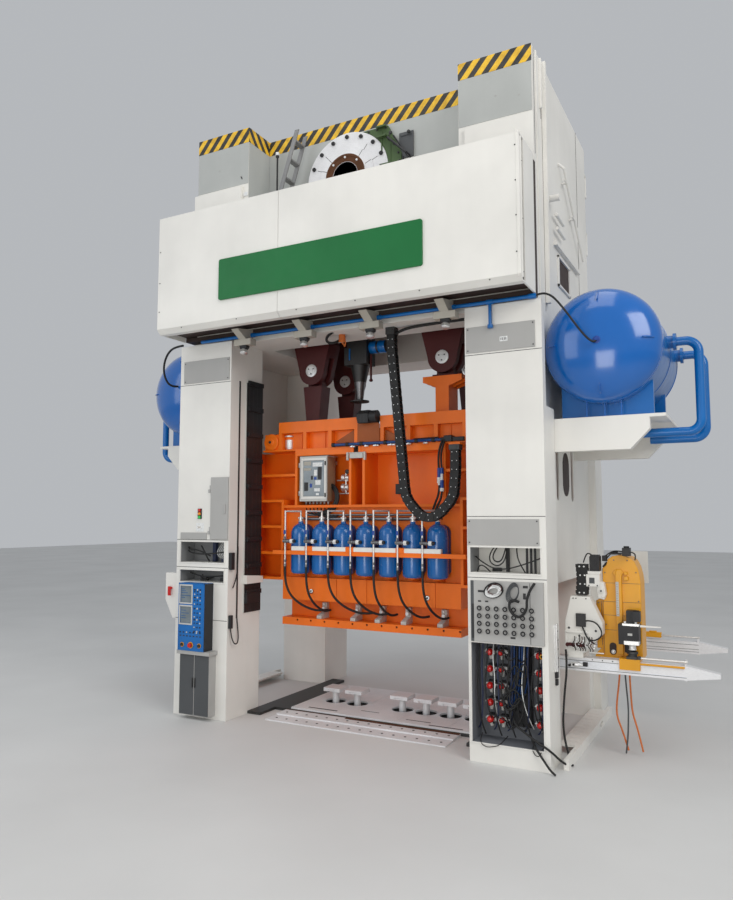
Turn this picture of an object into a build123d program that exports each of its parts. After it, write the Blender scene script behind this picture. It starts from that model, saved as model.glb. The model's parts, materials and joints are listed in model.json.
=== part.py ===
"""Straight-side transfer press: frame, slide, air tanks and side transfer unit.

X runs along the front, Y goes into the press, Z is up. The origin is on the
floor, midway between the four columns. All lengths are in millimetres.
"""

import os
from math import cos, radians, sin

from build123d import *

# Press frame
column_gap = 3710.0
column_width = 878.0
column_depth = 274.0
column_wall = 40.0
window_depth = 1982.0
crown_base = 5580.0
press_height = 9000.0

# Sheet casings in front of and behind the columns
casing_depth = 515.0
casing_overhang = 107.0
niche_depth = 330.0

# Bed
bed_half_depth = 880.0
bed_height = 40.0
bed_foot_x = 1620.0
plate_thickness = 25.0
plate_seams = (-1340.0, -352.0, 410.0, 1182.0, 1600.0)
seam_width = 4.0
post_pitch = 385.0
post_start = -941.0
post_y = -190.0
pocket_radius = 165.0
pocket_floor = 8.0
plate_inset_front = 20.0
plate_inset_rear = 30.0

# Crown
crown_rear_y = 1613.0
wall_y = -1038.0
crown_front_y = -1588.0
drive_bay_height = 1700.0
drive_deck = press_height - drive_bay_height
tower_width = 1001.0
cavity_half_width = 1700.0
cavity_half_depth = 900.0
cavity_top = 7800.0
step_top = 8064.0
step_inner_x = 1834.0
step_sheet = 53.0
step_side_sheet = 21.0

# Fascia
fascia_half_width = 2777.0
fascia_front_y = -2391.0
fascia_rear_y = -1780.0
fascia_base = 5648.0
fascia_top = 7423.0
fascia_sheet = 20.0
fascia_seam_x = -610.0
fascia_seam_width = 6.0
fascia_edge_radius = 70.0
fascia_return = 170.0
sign_width = 3160.0
sign_height = 592.0
sign_thickness = 25.0
sign_corner = 30.0
sign_x = -30.0
sign_z = 6301.0

# Slide
slide_front_y = -950.0
slide_base = 1310.0
slide_top = 3980.0
slide_half_width = 2100.0
slide_body_half_width = 1450.0
guide_base = 1973.0
face_recess = 100.0
slide_plate = 40.0
pocket_depth = 350.0
beam_top = 4410.0
beam_height = 175.0

# Bottles
bottle_base = 2085.0
bottle_clearance = 60.0

# Connecting rods
rod_x = 1110.0
rod_y = 540.0
pin_z = 5240.0
pin_radius = 100.0
pin_clearance = 0.05
rod_thickness = 340.0
rod_head_radius = 225.0
rod_eye_z = 6950.0
rod_eye_radius = 360.0
rod_eye_bore = 230.0
rod_waist_z = 5660.0
rod_waist_half_width = 330.0
rod_top_half_width = 240.0
plunger_thickness = 110.0

# Air tanks
tank_x = 3455.0
tank_z = 5024.0
tank_radius = 700.0
tank_dome = 330.0
tank_front_y = -1300.0
tank_length = 1640.0
left_tank_shift = 450.0
platform_top = 4158.0

# Fits and gaps
running_gap = 0.3
seat_gap = 0.3

# Derived levels
inner_x = column_gap / 2
outer_x = inner_x + column_width
casing_x = outer_x + casing_overhang
column_inner_y = window_depth / 2
column_outer_y = column_inner_y + column_depth
face_y = column_outer_y + casing_depth
tower_x = outer_x - tower_width
slide_rear_y = -slide_front_y
plate_top = bed_height + plate_thickness


def block(low, high, mode=Mode.ADD):
    """Square-edged block between two opposite corners."""
    size = [b - a for a, b in zip(low, high)]
    middle = [(a + b) / 2 for a, b in zip(low, high)]
    with Locations(tuple(middle)):
        Box(*size, mode=mode)


def drum(start, direction, radius, length, mode=Mode.ADD):
    """Round bar from a start point along a direction."""
    with BuildSketch(Plane(origin=start, z_dir=direction)) as section:
        Circle(radius)
    extrude(section.sketch, amount=length, mode=mode)


def tube(points, bends, radius):
    """Round bar bent along straight runs and tangent arcs."""
    with BuildLine() as route:
        FilletPolyline(*points, radius=bends)
    start = Vector(*points[0])
    with BuildSketch(Plane(origin=start, z_dir=Vector(*points[1]) - start)) as section:
        Circle(radius)
    sweep(section.sketch, path=route.wires()[0])


os.makedirs("parts", exist_ok=True)

# Bed: the flat slab between the columns, with a round pocket under each post
post_columns = [post_start + post_pitch * step for step in (0, 1, 3, 4, 5, 6)]

with BuildPart() as bed:
    block((-inner_x, -bed_half_depth, 0), (inner_x, bed_half_depth, bed_height))
    for side in (-1, 1):
        low_x, high_x = sorted((side * bed_foot_x, side * inner_x))
        block((low_x, -column_outer_y, 0), (high_x, column_outer_y, bed_height))
    with BuildSketch(Plane.XY.offset(bed_height)):
        with Locations(*[(x, post_y) for x in post_columns]):
            Circle(pocket_radius)
    extrude(amount=pocket_floor - bed_height, mode=Mode.SUBTRACT)
bed.part.label = "bed"
export_step(bed.part, "parts/bed.step")

# Machined bolster plates, laid side by side with open seams
with BuildPart() as bolster_plates:
    for left, right in zip(plate_seams, plate_seams[1:]):
        block(
            (left + seam_width / 2, -bed_half_depth + plate_inset_front, bed_height),
            (right - seam_width / 2, bed_half_depth - plate_inset_rear, plate_top),
        )
    with BuildSketch(Plane.XY.offset(plate_top)):
        with Locations(*[(x, post_y) for x in post_columns]):
            Circle(pocket_radius)
    extrude(amount=-plate_thickness, mode=Mode.SUBTRACT)
bolster_plates.part.label = "bolster_plates"
export_step(bolster_plates.part, "parts/bolster_plates.step")

# Lifting posts: a square head on a round stem, standing in the pockets
post_head = 285.0
post_head_height = 55.0
post_top = 280.0
stem_radius = 52.0
notch_half_width = post_head * 0.22
notch_depth = 18.0
notch_height = 30.0
head_base = post_top - post_head_height

with BuildPart() as lift_posts:
    for x in post_columns:
        drum((x, post_y, pocket_floor), (0, 0, 1), stem_radius, post_top - pocket_floor)
        block(
            (x - post_head / 2, post_y - post_head / 2, head_base),
            (x + post_head / 2, post_y + post_head / 2, post_top),
        )
        for side in (-1, 1):
            edge_y = post_y + side * post_head / 2
            block(
                (x - notch_half_width, edge_y - notch_depth, head_base),
                (x + notch_half_width, edge_y + notch_depth, head_base + notch_height),
                mode=Mode.SUBTRACT,
            )
lift_posts.part.label = "lift_posts"
export_step(lift_posts.part, "parts/lift_posts.step")

# Front ledges: one stepped section along the front of the bed
ledge_half_width = 1400.0
ledge_steps = ((280.0, 34.0), (560.0, 17.0))

with BuildPart() as front_ledges:
    with BuildSketch(Plane.YZ.offset(-ledge_half_width)):
        with BuildLine():
            (reach_1, rise_1), (reach_2, rise_2) = ledge_steps
            Polyline(
                (-bed_half_depth, 0),
                (-bed_half_depth, rise_1),
                (-bed_half_depth - reach_1, rise_1),
                (-bed_half_depth - reach_1, rise_2),
                (-bed_half_depth - reach_2, rise_2),
                (-bed_half_depth - reach_2, 0),
                close=True,
            )
        make_face()
    extrude(amount=2 * ledge_half_width)
front_ledges.part.label = "front_ledges"
export_step(front_ledges.part, "parts/front_ledges.step")

# Low side sills with their board decks, outside the columns
sill_x = 2940.0
sill_width = 60.0
sill_height = 120.0
sill_front_y = -1600.0
sill_rear_y = 1200.0
sill_slot_y = 390.0
sill_slot_length = 200.0
sill_slot_height = 60.0
board_count = 12
board_gap = 12.0
board_thickness = 28.0
deck_gap = 10.0
deck_half_depth = column_inner_y - deck_gap
board_pitch = 2 * deck_half_depth / board_count

with BuildPart() as side_decks:
    for side in (-1, 1):
        with BuildSketch(Plane.YZ.offset(side * sill_x)):
            with Locations(((sill_front_y + sill_rear_y) / 2, sill_height / 2)):
                Rectangle(sill_rear_y - sill_front_y, sill_height)
            with Locations((sill_slot_y, sill_height / 2)):
                SlotOverall(sill_slot_length, sill_slot_height, mode=Mode.SUBTRACT)
        extrude(amount=side * sill_width)
        inner, outer = sorted((side * (outer_x + deck_gap), side * sill_x))
        for step in range(board_count):
            start = -deck_half_depth + step * board_pitch
            block(
                (inner, start, sill_height - board_thickness),
                (outer, start + board_pitch - board_gap, sill_height),
            )
side_decks.part.label = "side_decks"
export_step(side_decks.part, "parts/side_decks.step")

# Columns: four hollow box sections
for end_name, end in (("front", -1), ("rear", 1)):
    with BuildPart() as columns:
        for side in (-1, 1):
            centre = (side * (inner_x + outer_x) / 2, end * (column_inner_y + column_depth / 2))
            with BuildSketch(Plane.XY):
                with Locations(centre):
                    Rectangle(column_width, column_depth)
                    Rectangle(
                        column_width - 2 * column_wall,
                        column_depth - 2 * column_wall,
                        mode=Mode.SUBTRACT,
                    )
            extrude(amount=crown_base)
    columns.part.label = f"columns_{end_name}"
    export_step(columns.part, f"parts/columns_{end_name}.step")

# Front casings: sheet cabinets with open niches for valves and cables
key_x = -2395.0
key_z = 2780.0
key_radius = 14.0
frame_edge = 75.0
upper_niche = (2255.0, 2560.0)
lower_niche = (1965.0, 2140.0)
valve_window = (235.0, 1410.0)
notch_front = 130.0
notch_base = 4280.0

with BuildPart() as casing_front_left:
    block((-casing_x, -face_y, 0), (-inner_x, -column_outer_y, crown_base))
    for low, high in (upper_niche, lower_niche):
        block(
            (-casing_x + frame_edge, -face_y, low),
            (-inner_x - frame_edge, -face_y + niche_depth, high),
            mode=Mode.SUBTRACT,
        )
    drum((key_x, -face_y - 1, key_z), (0, 1, 0), key_radius + pin_clearance, 25, Mode.SUBTRACT)
    block(
        (-casing_x, -face_y + notch_front, notch_base),
        (-outer_x, -column_outer_y, crown_base),
        mode=Mode.SUBTRACT,
    )
casing_front_left.part.label = "casing_front_left"
export_step(casing_front_left.part, "parts/casing_front_left.step")

with BuildPart() as casing_front_right:
    block((inner_x, -face_y, 0), (casing_x, -column_outer_y, crown_base))
    for low, high in (upper_niche, valve_window):
        block(
            (inner_x + frame_edge / 2, -face_y, low),
            (casing_x - frame_edge, -face_y + niche_depth, high),
            mode=Mode.SUBTRACT,
        )
    block(
        (outer_x, -face_y + notch_front, notch_base),
        (casing_x, -column_outer_y, crown_base),
        mode=Mode.SUBTRACT,
    )
casing_front_right.part.label = "casing_front_right"
export_step(casing_front_right.part, "parts/casing_front_right.step")

# Rear casings: plain cabinets with a door panel standing proud
rear_door_height = 2100.0
rear_door_bases = (160.0, 2360.0)
rear_door_proud = 12.0

with BuildPart() as casings_rear:
    for side in (-1, 1):
        low_x, high_x = sorted((side * inner_x, side * casing_x))
        block((low_x, column_outer_y, 0), (high_x, face_y - rear_door_proud, crown_base))
        for base in rear_door_bases:
            block(
                (low_x + frame_edge, face_y - rear_door_proud, base),
                (high_x - frame_edge, face_y, base + rear_door_height),
            )
casings_rear.part.label = "casings_rear"
export_step(casings_rear.part, "parts/casings_rear.step")

# Side walls close the upper half of each side window
side_wall_base = 2080.0
side_wall_thickness = 20.0
slot_width = 130.0
slot_height = 900.0
slot_centres = ((-700.0, 3600.0), (150.0, 3600.0))

with BuildPart() as side_walls:
    for side in (-1, 1):
        with BuildSketch(Plane.YZ.offset(side * (outer_x - side_wall_thickness))):
            with Locations((0, (side_wall_base + crown_base) / 2)):
                Rectangle(2 * column_inner_y, crown_base - side_wall_base)
            with Locations(*slot_centres):
                SlotOverall(slot_height, slot_width, rotation=90, mode=Mode.SUBTRACT)
        extrude(amount=side * side_wall_thickness)
side_walls.part.label = "side_walls"
export_step(side_walls.part, "parts/side_walls.step")

# Crown: one weldment, hollow underneath, with two towers and front cover sheets
with BuildPart() as crown:
    with BuildSketch(Plane.YZ.offset(-outer_x)):
        with BuildLine():
            Polyline(
                (crown_front_y, crown_base),
                (crown_rear_y, crown_base),
                (crown_rear_y, press_height),
                (wall_y, press_height),
                (wall_y, drive_deck),
                (crown_front_y, drive_deck),
                close=True,
            )
        make_face()
    extrude(amount=2 * outer_x)
    block(
        (-cavity_half_width, -cavity_half_depth, crown_base),
        (cavity_half_width, cavity_half_depth, cavity_top),
        mode=Mode.SUBTRACT,
    )
    for side in (-1, 1):
        low_x, high_x = sorted((side * tower_x, side * outer_x))
        block((low_x, crown_front_y, drive_deck), (high_x, wall_y, press_height))
        low_x, high_x = sorted((side * step_inner_x, side * (outer_x + step_side_sheet)))
        block(
            (low_x, crown_front_y - step_sheet, fascia_top - fascia_sheet),
            (high_x, crown_front_y, step_top),
        )
crown.part.label = "crown"
export_step(crown.part, "parts/crown.step")

# Fascia: two folded sheet panels with a rounded lower edge, side by side on a frame
with BuildPart() as fascia:
    for side, low_x, high_x in (
        (-1, -fascia_half_width, fascia_seam_x - fascia_seam_width / 2),
        (1, fascia_seam_x + fascia_seam_width / 2, fascia_half_width),
    ):
        with BuildSketch(Plane.YZ.offset(low_x)):
            with BuildLine():
                Polyline(
                    (fascia_front_y + fascia_return, fascia_base),
                    (fascia_front_y + fascia_edge_radius, fascia_base),
                    (fascia_front_y, fascia_base + fascia_edge_radius),
                    (fascia_front_y, fascia_top),
                    (fascia_front_y + fascia_return, fascia_top),
                    (fascia_front_y + fascia_return, fascia_top - fascia_sheet),
                    (fascia_front_y + fascia_sheet, fascia_top - fascia_sheet),
                    (fascia_front_y + fascia_sheet, fascia_base + fascia_edge_radius),
                    (fascia_front_y + fascia_edge_radius, fascia_base + fascia_sheet),
                    (fascia_front_y + fascia_return, fascia_base + fascia_sheet),
                    close=True,
                )
            make_face()
        extrude(amount=high_x - low_x)
        inner, outer = sorted((side * (fascia_half_width - fascia_sheet), side * fascia_half_width))
        block(
            (inner, fascia_front_y + fascia_return, fascia_base),
            (outer, fascia_rear_y, fascia_top),
        )
fascia.part.label = "fascia"
export_step(fascia.part, "parts/fascia.step")

# Frame that carries the fascia: bottom bar, two side bars and a floor sheet
frame_bar = 60.0
frame_half_width = fascia_half_width - 25
fascia_floor_z = 5722.0
fascia_floor_sheet = 18.0

with BuildPart() as fascia_frame:
    block(
        (-frame_half_width, fascia_rear_y, fascia_base),
        (frame_half_width, crown_front_y, fascia_base + frame_bar),
    )
    for side in (-1, 1):
        low_x, high_x = sorted((side * (frame_half_width - frame_bar), side * frame_half_width))
        block((low_x, fascia_rear_y, fascia_base), (high_x, crown_front_y, fascia_top - fascia_sheet))
    block(
        (-frame_half_width, fascia_front_y + fascia_sheet, fascia_floor_z),
        (frame_half_width, fascia_rear_y, fascia_floor_z + fascia_floor_sheet),
    )
fascia_frame.part.label = "fascia_frame"
export_step(fascia_frame.part, "parts/fascia_frame.step")

# Sign plate: plain, with rounded corners
with BuildPart() as sign_plate:
    with BuildSketch(Plane.XZ.offset(-fascia_front_y)):
        with Locations((sign_x, sign_z)):
            RectangleRounded(sign_width, sign_height, sign_corner)
    extrude(amount=sign_thickness)
sign_plate.part.label = "sign_plate"
export_step(sign_plate.part, "parts/sign_plate.step")

# Grey cover panels on the front casings, with the fixed halves of the door hinge
panel_thickness = 10.0
door_low_x = -2190.0
door_high_x = -1862.0
door_base = 2605.0
door_top = 3525.0
door_thickness = 18.0
hinge_pin_radius = 5.0
barrel_radius = 9.0
hinge_reach = 16.0
hinge_knuckle = 60.0
hinge_lug = 50.0
hinge_lug_reach = 30.0
hinge_play = 0.5
door_hinges = (door_base + 120, door_top - 180)
door_handle_base = door_base + 380
door_handle_height = 140.0
door_handle_width = 30.0
door_handle_depth = 14.0
cover_places = (
    (-2766.0, -1885.0, 4990.0, 5335.0),
    (1875.0, 2759.0, 4990.0, 5318.0),
    (1865.0, 2759.0, 2590.0, 2905.0),
    (-2766.0, -2260.0, 2600.0, 2700.0),
)
cabinet_low_x = -2600.0
cabinet_high_x = -2050.0
cabinet_depth = 150.0
cabinet_base = 60.0
cabinet_top = 930.0
ledge_thickness = 55.0
ledge_overhang_x = 30.0
ledge_overhang_y = 40.0


def hinge_axis_y(face, thickness):
    """Depth of the pin line of a door that stands on a face."""
    return face - thickness / 2 - seat_gap


with BuildPart() as casing_panels:
    for low_x, high_x, low_z, high_z in cover_places:
        block((low_x, -face_y - panel_thickness, low_z), (high_x, -face_y, high_z))
    block(
        (cabinet_low_x, -face_y - cabinet_depth, cabinet_base),
        (cabinet_high_x, -face_y, cabinet_top),
    )
    block(
        (cabinet_low_x - ledge_overhang_x, -face_y - cabinet_depth - ledge_overhang_y, cabinet_top),
        (cabinet_high_x + ledge_overhang_x, -face_y, cabinet_top + ledge_thickness),
    )
    for z in door_hinges:
        pin_y = hinge_axis_y(-face_y, door_thickness)
        pin_x = door_low_x - hinge_reach
        block(
            (pin_x - hinge_lug_reach, -face_y - door_thickness, z - hinge_lug),
            (pin_x + 2 * hinge_pin_radius, -face_y, z),
        )
        drum((pin_x, pin_y, z), (0, 0, 1), hinge_pin_radius, hinge_knuckle)
casing_panels.part.label = "casing_panels"
export_step(casing_panels.part, "parts/casing_panels.step")

# Hinged door of the left front casing
with BuildPart() as casing_door:
    front = -face_y - seat_gap - door_thickness
    block((door_low_x, front, door_base), (door_high_x, -face_y - seat_gap, door_top))
    block(
        (door_high_x - 40 - door_handle_width, front - door_handle_depth, door_handle_base),
        (door_high_x - 40, front, door_handle_base + door_handle_height),
    )
    for z in door_hinges:
        pin_y = hinge_axis_y(-face_y, door_thickness)
        pin_x = door_low_x - hinge_reach
        base = z + hinge_play
        block((pin_x, front, base), (door_low_x, pin_y + 7, base + hinge_knuckle))
        drum((pin_x, pin_y, base), (0, 0, 1), barrel_radius, hinge_knuckle)
        drum(
            (pin_x, pin_y, base - 1),
            (0, 0, 1),
            hinge_pin_radius + pin_clearance,
            hinge_knuckle + 2,
            Mode.SUBTRACT,
        )
casing_door.part.label = "casing_door"
export_step(casing_door.part, "parts/casing_door.step")

# Work lamps under the fascia, on folded gussets
lamp_centres = (-1521.0, -476.0, 571.0, 1648.0)
lamp_half_length = 150.0
lamp_front_y = -1960.0
lamp_rear_y = -1830.0
lamp_base = 5440.0
lamp_top = 5530.0
gusset_width = 120.0
gusset_tip_y = -2150.0
gusset_tip_z = 5640.0
gusset_top = 5700.0

with BuildPart() as work_lamps:
    for x in lamp_centres:
        with BuildSketch(Plane.YZ.offset(x - gusset_width / 2)):
            with BuildLine():
                Polyline(
                    (fascia_rear_y, gusset_top),
                    (gusset_tip_y, gusset_tip_z),
                    (lamp_front_y, lamp_top),
                    (fascia_rear_y, lamp_top),
                    close=True,
                )
            make_face()
        extrude(amount=gusset_width)
        block(
            (x - lamp_half_length, lamp_front_y, lamp_base),
            (x + lamp_half_length, lamp_rear_y, lamp_top),
        )
work_lamps.part.label = "work_lamps"
export_step(work_lamps.part, "parts/work_lamps.step")

# Drive flange on the crown wall and the hub that turns in it
drive_x = -252.0
drive_rise = 773.0
drive_z = drive_deck + drive_rise
flange_radius = 695.0
hub_radius = 340.0
hub_bore = 210.0
flange_thickness = 60.0
bolt_circle = 630.0
bolt_count = 16
bolt_hole_radius = 17.0
collar_radius = 460.0
collar_height = 25.0
hub_length = 120.0
hub_bore_depth = 95.0
stud_circle = 285.0
stud_count = 8
stud_radius = 16.0
stud_height = 14.0
hub_play = 0.5

with BuildPart() as drive_flange:
    with BuildSketch(Plane.XZ.offset(-wall_y)):
        with Locations((drive_x, drive_z)):
            Circle(flange_radius)
            Circle(hub_radius + pin_clearance, mode=Mode.SUBTRACT)
            with PolarLocations(bolt_circle, bolt_count):
                Circle(bolt_hole_radius, mode=Mode.SUBTRACT)
    extrude(amount=flange_thickness)
    with BuildSketch(Plane.XZ.offset(-wall_y + flange_thickness)):
        with Locations((drive_x, drive_z)):
            Circle(collar_radius)
            Circle(hub_radius + pin_clearance, mode=Mode.SUBTRACT)
    extrude(amount=collar_height)
drive_flange.part.label = "drive_flange"
export_step(drive_flange.part, "parts/drive_flange.step")

with BuildPart() as drive_hub:
    hub_face_y = wall_y - hub_play - hub_length
    drum((drive_x, wall_y - hub_play, drive_z), (0, -1, 0), hub_radius, hub_length)
    drum((drive_x, hub_face_y, drive_z), (0, 1, 0), hub_bore, hub_bore_depth, Mode.SUBTRACT)
    with BuildSketch(Plane.XZ.offset(-hub_face_y)):
        with Locations((drive_x, drive_z)):
            with PolarLocations(stud_circle, stud_count):
                Circle(stud_radius)
    extrude(amount=stud_height)
drive_hub.part.label = "drive_hub"
export_step(drive_hub.part, "parts/drive_hub.step")

# Guard beside the drive flange: a plate on the crown wall, cut to the flange, with two ribs
guard_drop = 283.0
guard_height = 617.0
guard_top = press_height - guard_drop
guard_low = guard_top - guard_height
guard_plate = 60.0
guard_rib = 26.0
guard_gap = 6.0
guard_outline = (
    (drive_x + 130, guard_top),
    (drive_x + 691, guard_top),
    (drive_x + 910, guard_top - 470),
    (drive_x + 910, guard_low),
    (drive_x + 500, guard_low),
)
guard_rib_span = (drive_x + 520, drive_x + 680)
guard_rib_drops = (0.0, 150.0)

with BuildPart() as guard_bracket:
    with BuildSketch(Plane.XZ.offset(-wall_y)):
        with BuildLine():
            Polyline(*guard_outline, close=True)
        make_face()
        with Locations((drive_x, drive_z)):
            Circle(flange_radius + guard_gap, mode=Mode.SUBTRACT)
    extrude(amount=guard_plate)
    for drop in guard_rib_drops:
        block(
            (guard_rib_span[0], wall_y - 2 * guard_plate, guard_top - drop - guard_rib),
            (guard_rib_span[1], wall_y - guard_plate, guard_top - drop),
        )
guard_bracket.part.label = "guard_bracket"
export_step(guard_bracket.part, "parts/guard_bracket.step")

# Access ladder leaning on the deck
ladder_rungs = 5
ladder_low_x = -1480.0
ladder_high_x = -1410.0
ladder_stiles_y = (-1420.0, -1180.0)
ladder_stile = 20.0
ladder_drop = 160.0
ladder_height = drive_bay_height - ladder_drop
ladder_lean = 500.0
rung_half_width = 45.0
rung_half_height = 12.0

with BuildPart() as access_ladder:
    for stile_y in ladder_stiles_y:
        with BuildSketch(Plane.XZ.offset(-stile_y)):
            with BuildLine():
                Polyline(
                    (ladder_low_x, drive_deck),
                    (ladder_high_x, drive_deck),
                    (ladder_high_x + ladder_lean, drive_deck + ladder_height),
                    (ladder_low_x + ladder_lean, drive_deck + ladder_height),
                    close=True,
                )
            make_face()
        extrude(amount=ladder_stile)
    for step in range(1, ladder_rungs + 1):
        rise = ladder_height * step / (ladder_rungs + 0.6)
        x = (ladder_low_x + ladder_high_x) / 2 + ladder_lean * rise / ladder_height
        z = drive_deck + rise
        block(
            (x - rung_half_width, ladder_stiles_y[0], z - rung_half_height),
            (x + rung_half_width, ladder_stiles_y[1] - ladder_stile, z + rung_half_height),
        )
access_ladder.part.label = "access_ladder"
export_step(access_ladder.part, "parts/access_ladder.step")

# Crown fittings: conduit and cable rails on the side, plate with its post on the wall
conduit_size = 60.0
conduit_y = -1100.0
conduit_base = crown_base + 120
cable_rail_ends = (-640.0, 820.0)
cable_rail_z = 6640.0
cable_rail_depth = 50.0
stub_y = -900.0
stub_z = 7184.0
stub_radius = 45.0
stub_length = 160.0
wall_plate_x = (690.0, 832.0)
wall_plate_drop = 460.0
wall_plate_height = 490.0
wall_plate_top = press_height - wall_plate_drop
wall_plate_thickness = 20.0

with BuildPart() as crown_fittings:
    block(
        (outer_x, conduit_y - conduit_size / 2, conduit_base),
        (outer_x + conduit_size, conduit_y + conduit_size / 2, press_height),
    )
    block(
        (outer_x, cable_rail_ends[0], cable_rail_z),
        (outer_x + cable_rail_depth, cable_rail_ends[1], cable_rail_z + conduit_size),
    )
    drum((outer_x, stub_y, stub_z), (1, 0, 0), stub_radius, stub_length)
    block(
        (wall_plate_x[0], wall_y - wall_plate_thickness, wall_plate_top - wall_plate_height),
        (wall_plate_x[1], wall_y, wall_plate_top),
    )
crown_fittings.part.label = "crown_fittings"
export_step(crown_fittings.part, "parts/crown_fittings.step")

# Energy chain that hangs between the crown and a bracket on the slide
chain_width = 100.0
chain_height = 130.0
chain_pitch = 58.0
chain_groove = 9.0
chain_y = -1330.0
chain_top_x = 608.0
chain_end_x = 1543.0
chain_end_drop = 90.0
chain_left_drop = 783.0
chain_low_drop = 1158.0
chain_right_drop = 803.0
chain_end = Vector(chain_end_x, chain_y, slide_top - chain_end_drop)
chain_top_run = 250.0
chain_end_run = 330.0
chain_loop = (
    (811.0, chain_y, slide_top - chain_left_drop),
    (1152.0, chain_y, slide_top - chain_low_drop),
    (1509.0, chain_y, slide_top - chain_right_drop),
)
chain_bends = (2500.0, 420.0, 230.0, 320.0, 2500.0)
chain_bracket_half_width = 80.0

# Slide weldment: a profiled middle body, a pocketed wing on each side and a top plate
flange_strip_top = 1420.0
recess_top = 1685.0
recess_depth = 260.0
band_top = bottle_base - bottle_clearance
ridge_z = 3095.0
ridge_thickness = 40.0
panel_top_z = 3870.0
panel_depth = 424.0
wing_rib_levels = (2360.0, 2765.0, 3163.0, 3560.0)
rib_thickness = 40.0
frame_plate_x = 1245.0
top_plate = 25.0
top_plate_half_width = 1850.0
channel_left_x = -293.0
channel_right_x = -27.0
strip_bolt_pitch = 237.5
strip_bolt_count = 12
strip_bolt_middle = 126.0
strip_bolt_radius = 16.0
strip_bolt_rise = 75.0
band_ports = ((-935.0, 1820.0), (952.0, 1815.0))
band_port_radius = 38.0
port_depth = 60.0
band_seams = (-496.0, 7.0, 1078.0)
band_seam_width = 8.0
band_seam_depth = 12.0
body_y = slide_rear_y - face_recess
panel_y = slide_rear_y - panel_depth
recess_y = slide_rear_y - recess_depth
ridge_base = ridge_z - ridge_thickness / 2
ridge_top = ridge_z + ridge_thickness / 2
rear_profile = (
    (slide_rear_y, slide_base),
    (slide_rear_y, flange_strip_top),
    (recess_y, flange_strip_top),
    (recess_y, recess_top),
    (slide_rear_y, recess_top),
    (slide_rear_y, band_top),
    (body_y, band_top),
    (body_y, ridge_base),
    (slide_rear_y, ridge_base),
    (slide_rear_y, ridge_top),
    (panel_y, ridge_top),
    (panel_y, panel_top_z),
    (slide_rear_y, panel_top_z),
    (slide_rear_y, slide_top - top_plate),
)
front_profile = [(-y, z) for y, z in reversed(rear_profile)]

with BuildPart() as slide:
    with BuildSketch(Plane.YZ.offset(-slide_body_half_width)):
        with BuildLine():
            Polyline(*rear_profile, *front_profile, close=True)
        make_face()
    extrude(amount=2 * slide_body_half_width)
    # Wings with one pocket between each pair of ribs, in front and behind
    wing_levels = (guide_base, *wing_rib_levels, slide_top - top_plate)
    for side in (-1, 1):
        low_x, high_x = sorted((side * slide_body_half_width, side * slide_half_width))
        block((low_x, slide_front_y, guide_base), (high_x, slide_rear_y, slide_top - top_plate))
        for end in (-1, 1):
            for low_z, high_z in zip(wing_levels, wing_levels[1:]):
                above_ridge = low_z + rib_thickness > ridge_top
                inner = frame_plate_x if above_ridge else slide_body_half_width + slide_plate
                low_x, high_x = sorted((side * inner, side * (slide_half_width - slide_plate)))
                low_y, high_y = sorted((end * (slide_rear_y - pocket_depth), end * slide_rear_y))
                block(
                    (low_x, low_y, low_z + rib_thickness),
                    (high_x, high_y, high_z),
                    mode=Mode.SUBTRACT,
                )
            low_x, high_x = sorted((side * (frame_plate_x - slide_plate), side * frame_plate_x))
            low_y, high_y = sorted((end * panel_y, end * slide_rear_y))
            block((low_x, low_y, ridge_top), (high_x, high_y, panel_top_z))
            rib_low, rib_high = sorted((side * frame_plate_x, side * slide_body_half_width))
            block(
                (rib_low, low_y, wing_rib_levels[-1]),
                (rib_high, high_y, wing_rib_levels[-1] + rib_thickness),
            )
    # Bracket that holds the lower end of the energy chain
    block(
        (chain_end.X - chain_bracket_half_width, chain_y - chain_width / 2, chain_end.Z),
        (chain_end.X + chain_bracket_half_width, slide_front_y, chain_end.Z + top_plate),
    )
    # Channel in the middle of the front face
    for left_x in (channel_left_x, channel_right_x - slide_plate):
        block((left_x, slide_front_y, ridge_top), (left_x + slide_plate, -panel_y, panel_top_z))
    # Top plate, tapped strip and seams of the flush band
    block(
        (-top_plate_half_width, slide_front_y, slide_top - top_plate),
        (top_plate_half_width, slide_rear_y, slide_top),
    )
    with BuildSketch(Plane.XZ.offset(slide_rear_y)):
        with Locations((strip_bolt_middle, slide_base + strip_bolt_rise)):
            with GridLocations(strip_bolt_pitch, 1, strip_bolt_count, 1):
                Circle(strip_bolt_radius)
        with Locations(*band_ports):
            Circle(band_port_radius)
    extrude(amount=-port_depth, mode=Mode.SUBTRACT)
    with BuildSketch(Plane.XZ.offset(slide_rear_y)):
        with Locations(*[(x, (recess_top + band_top) / 2) for x in band_seams]):
            Rectangle(band_seam_width, band_top - recess_top)
    extrude(amount=-band_seam_depth, mode=Mode.SUBTRACT)
slide.part.label = "slide"
export_step(slide.part, "parts/slide.step")

# Upper beams of the slide: box beams on short posts, with a wall behind the posts
beam_depth = 230.0
beam_post = 60.0
beam_post_count = 4
beam_wall = 30.0
beam_spans = ((-1555.0, -144.0), (226.0, 1555.0))

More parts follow.
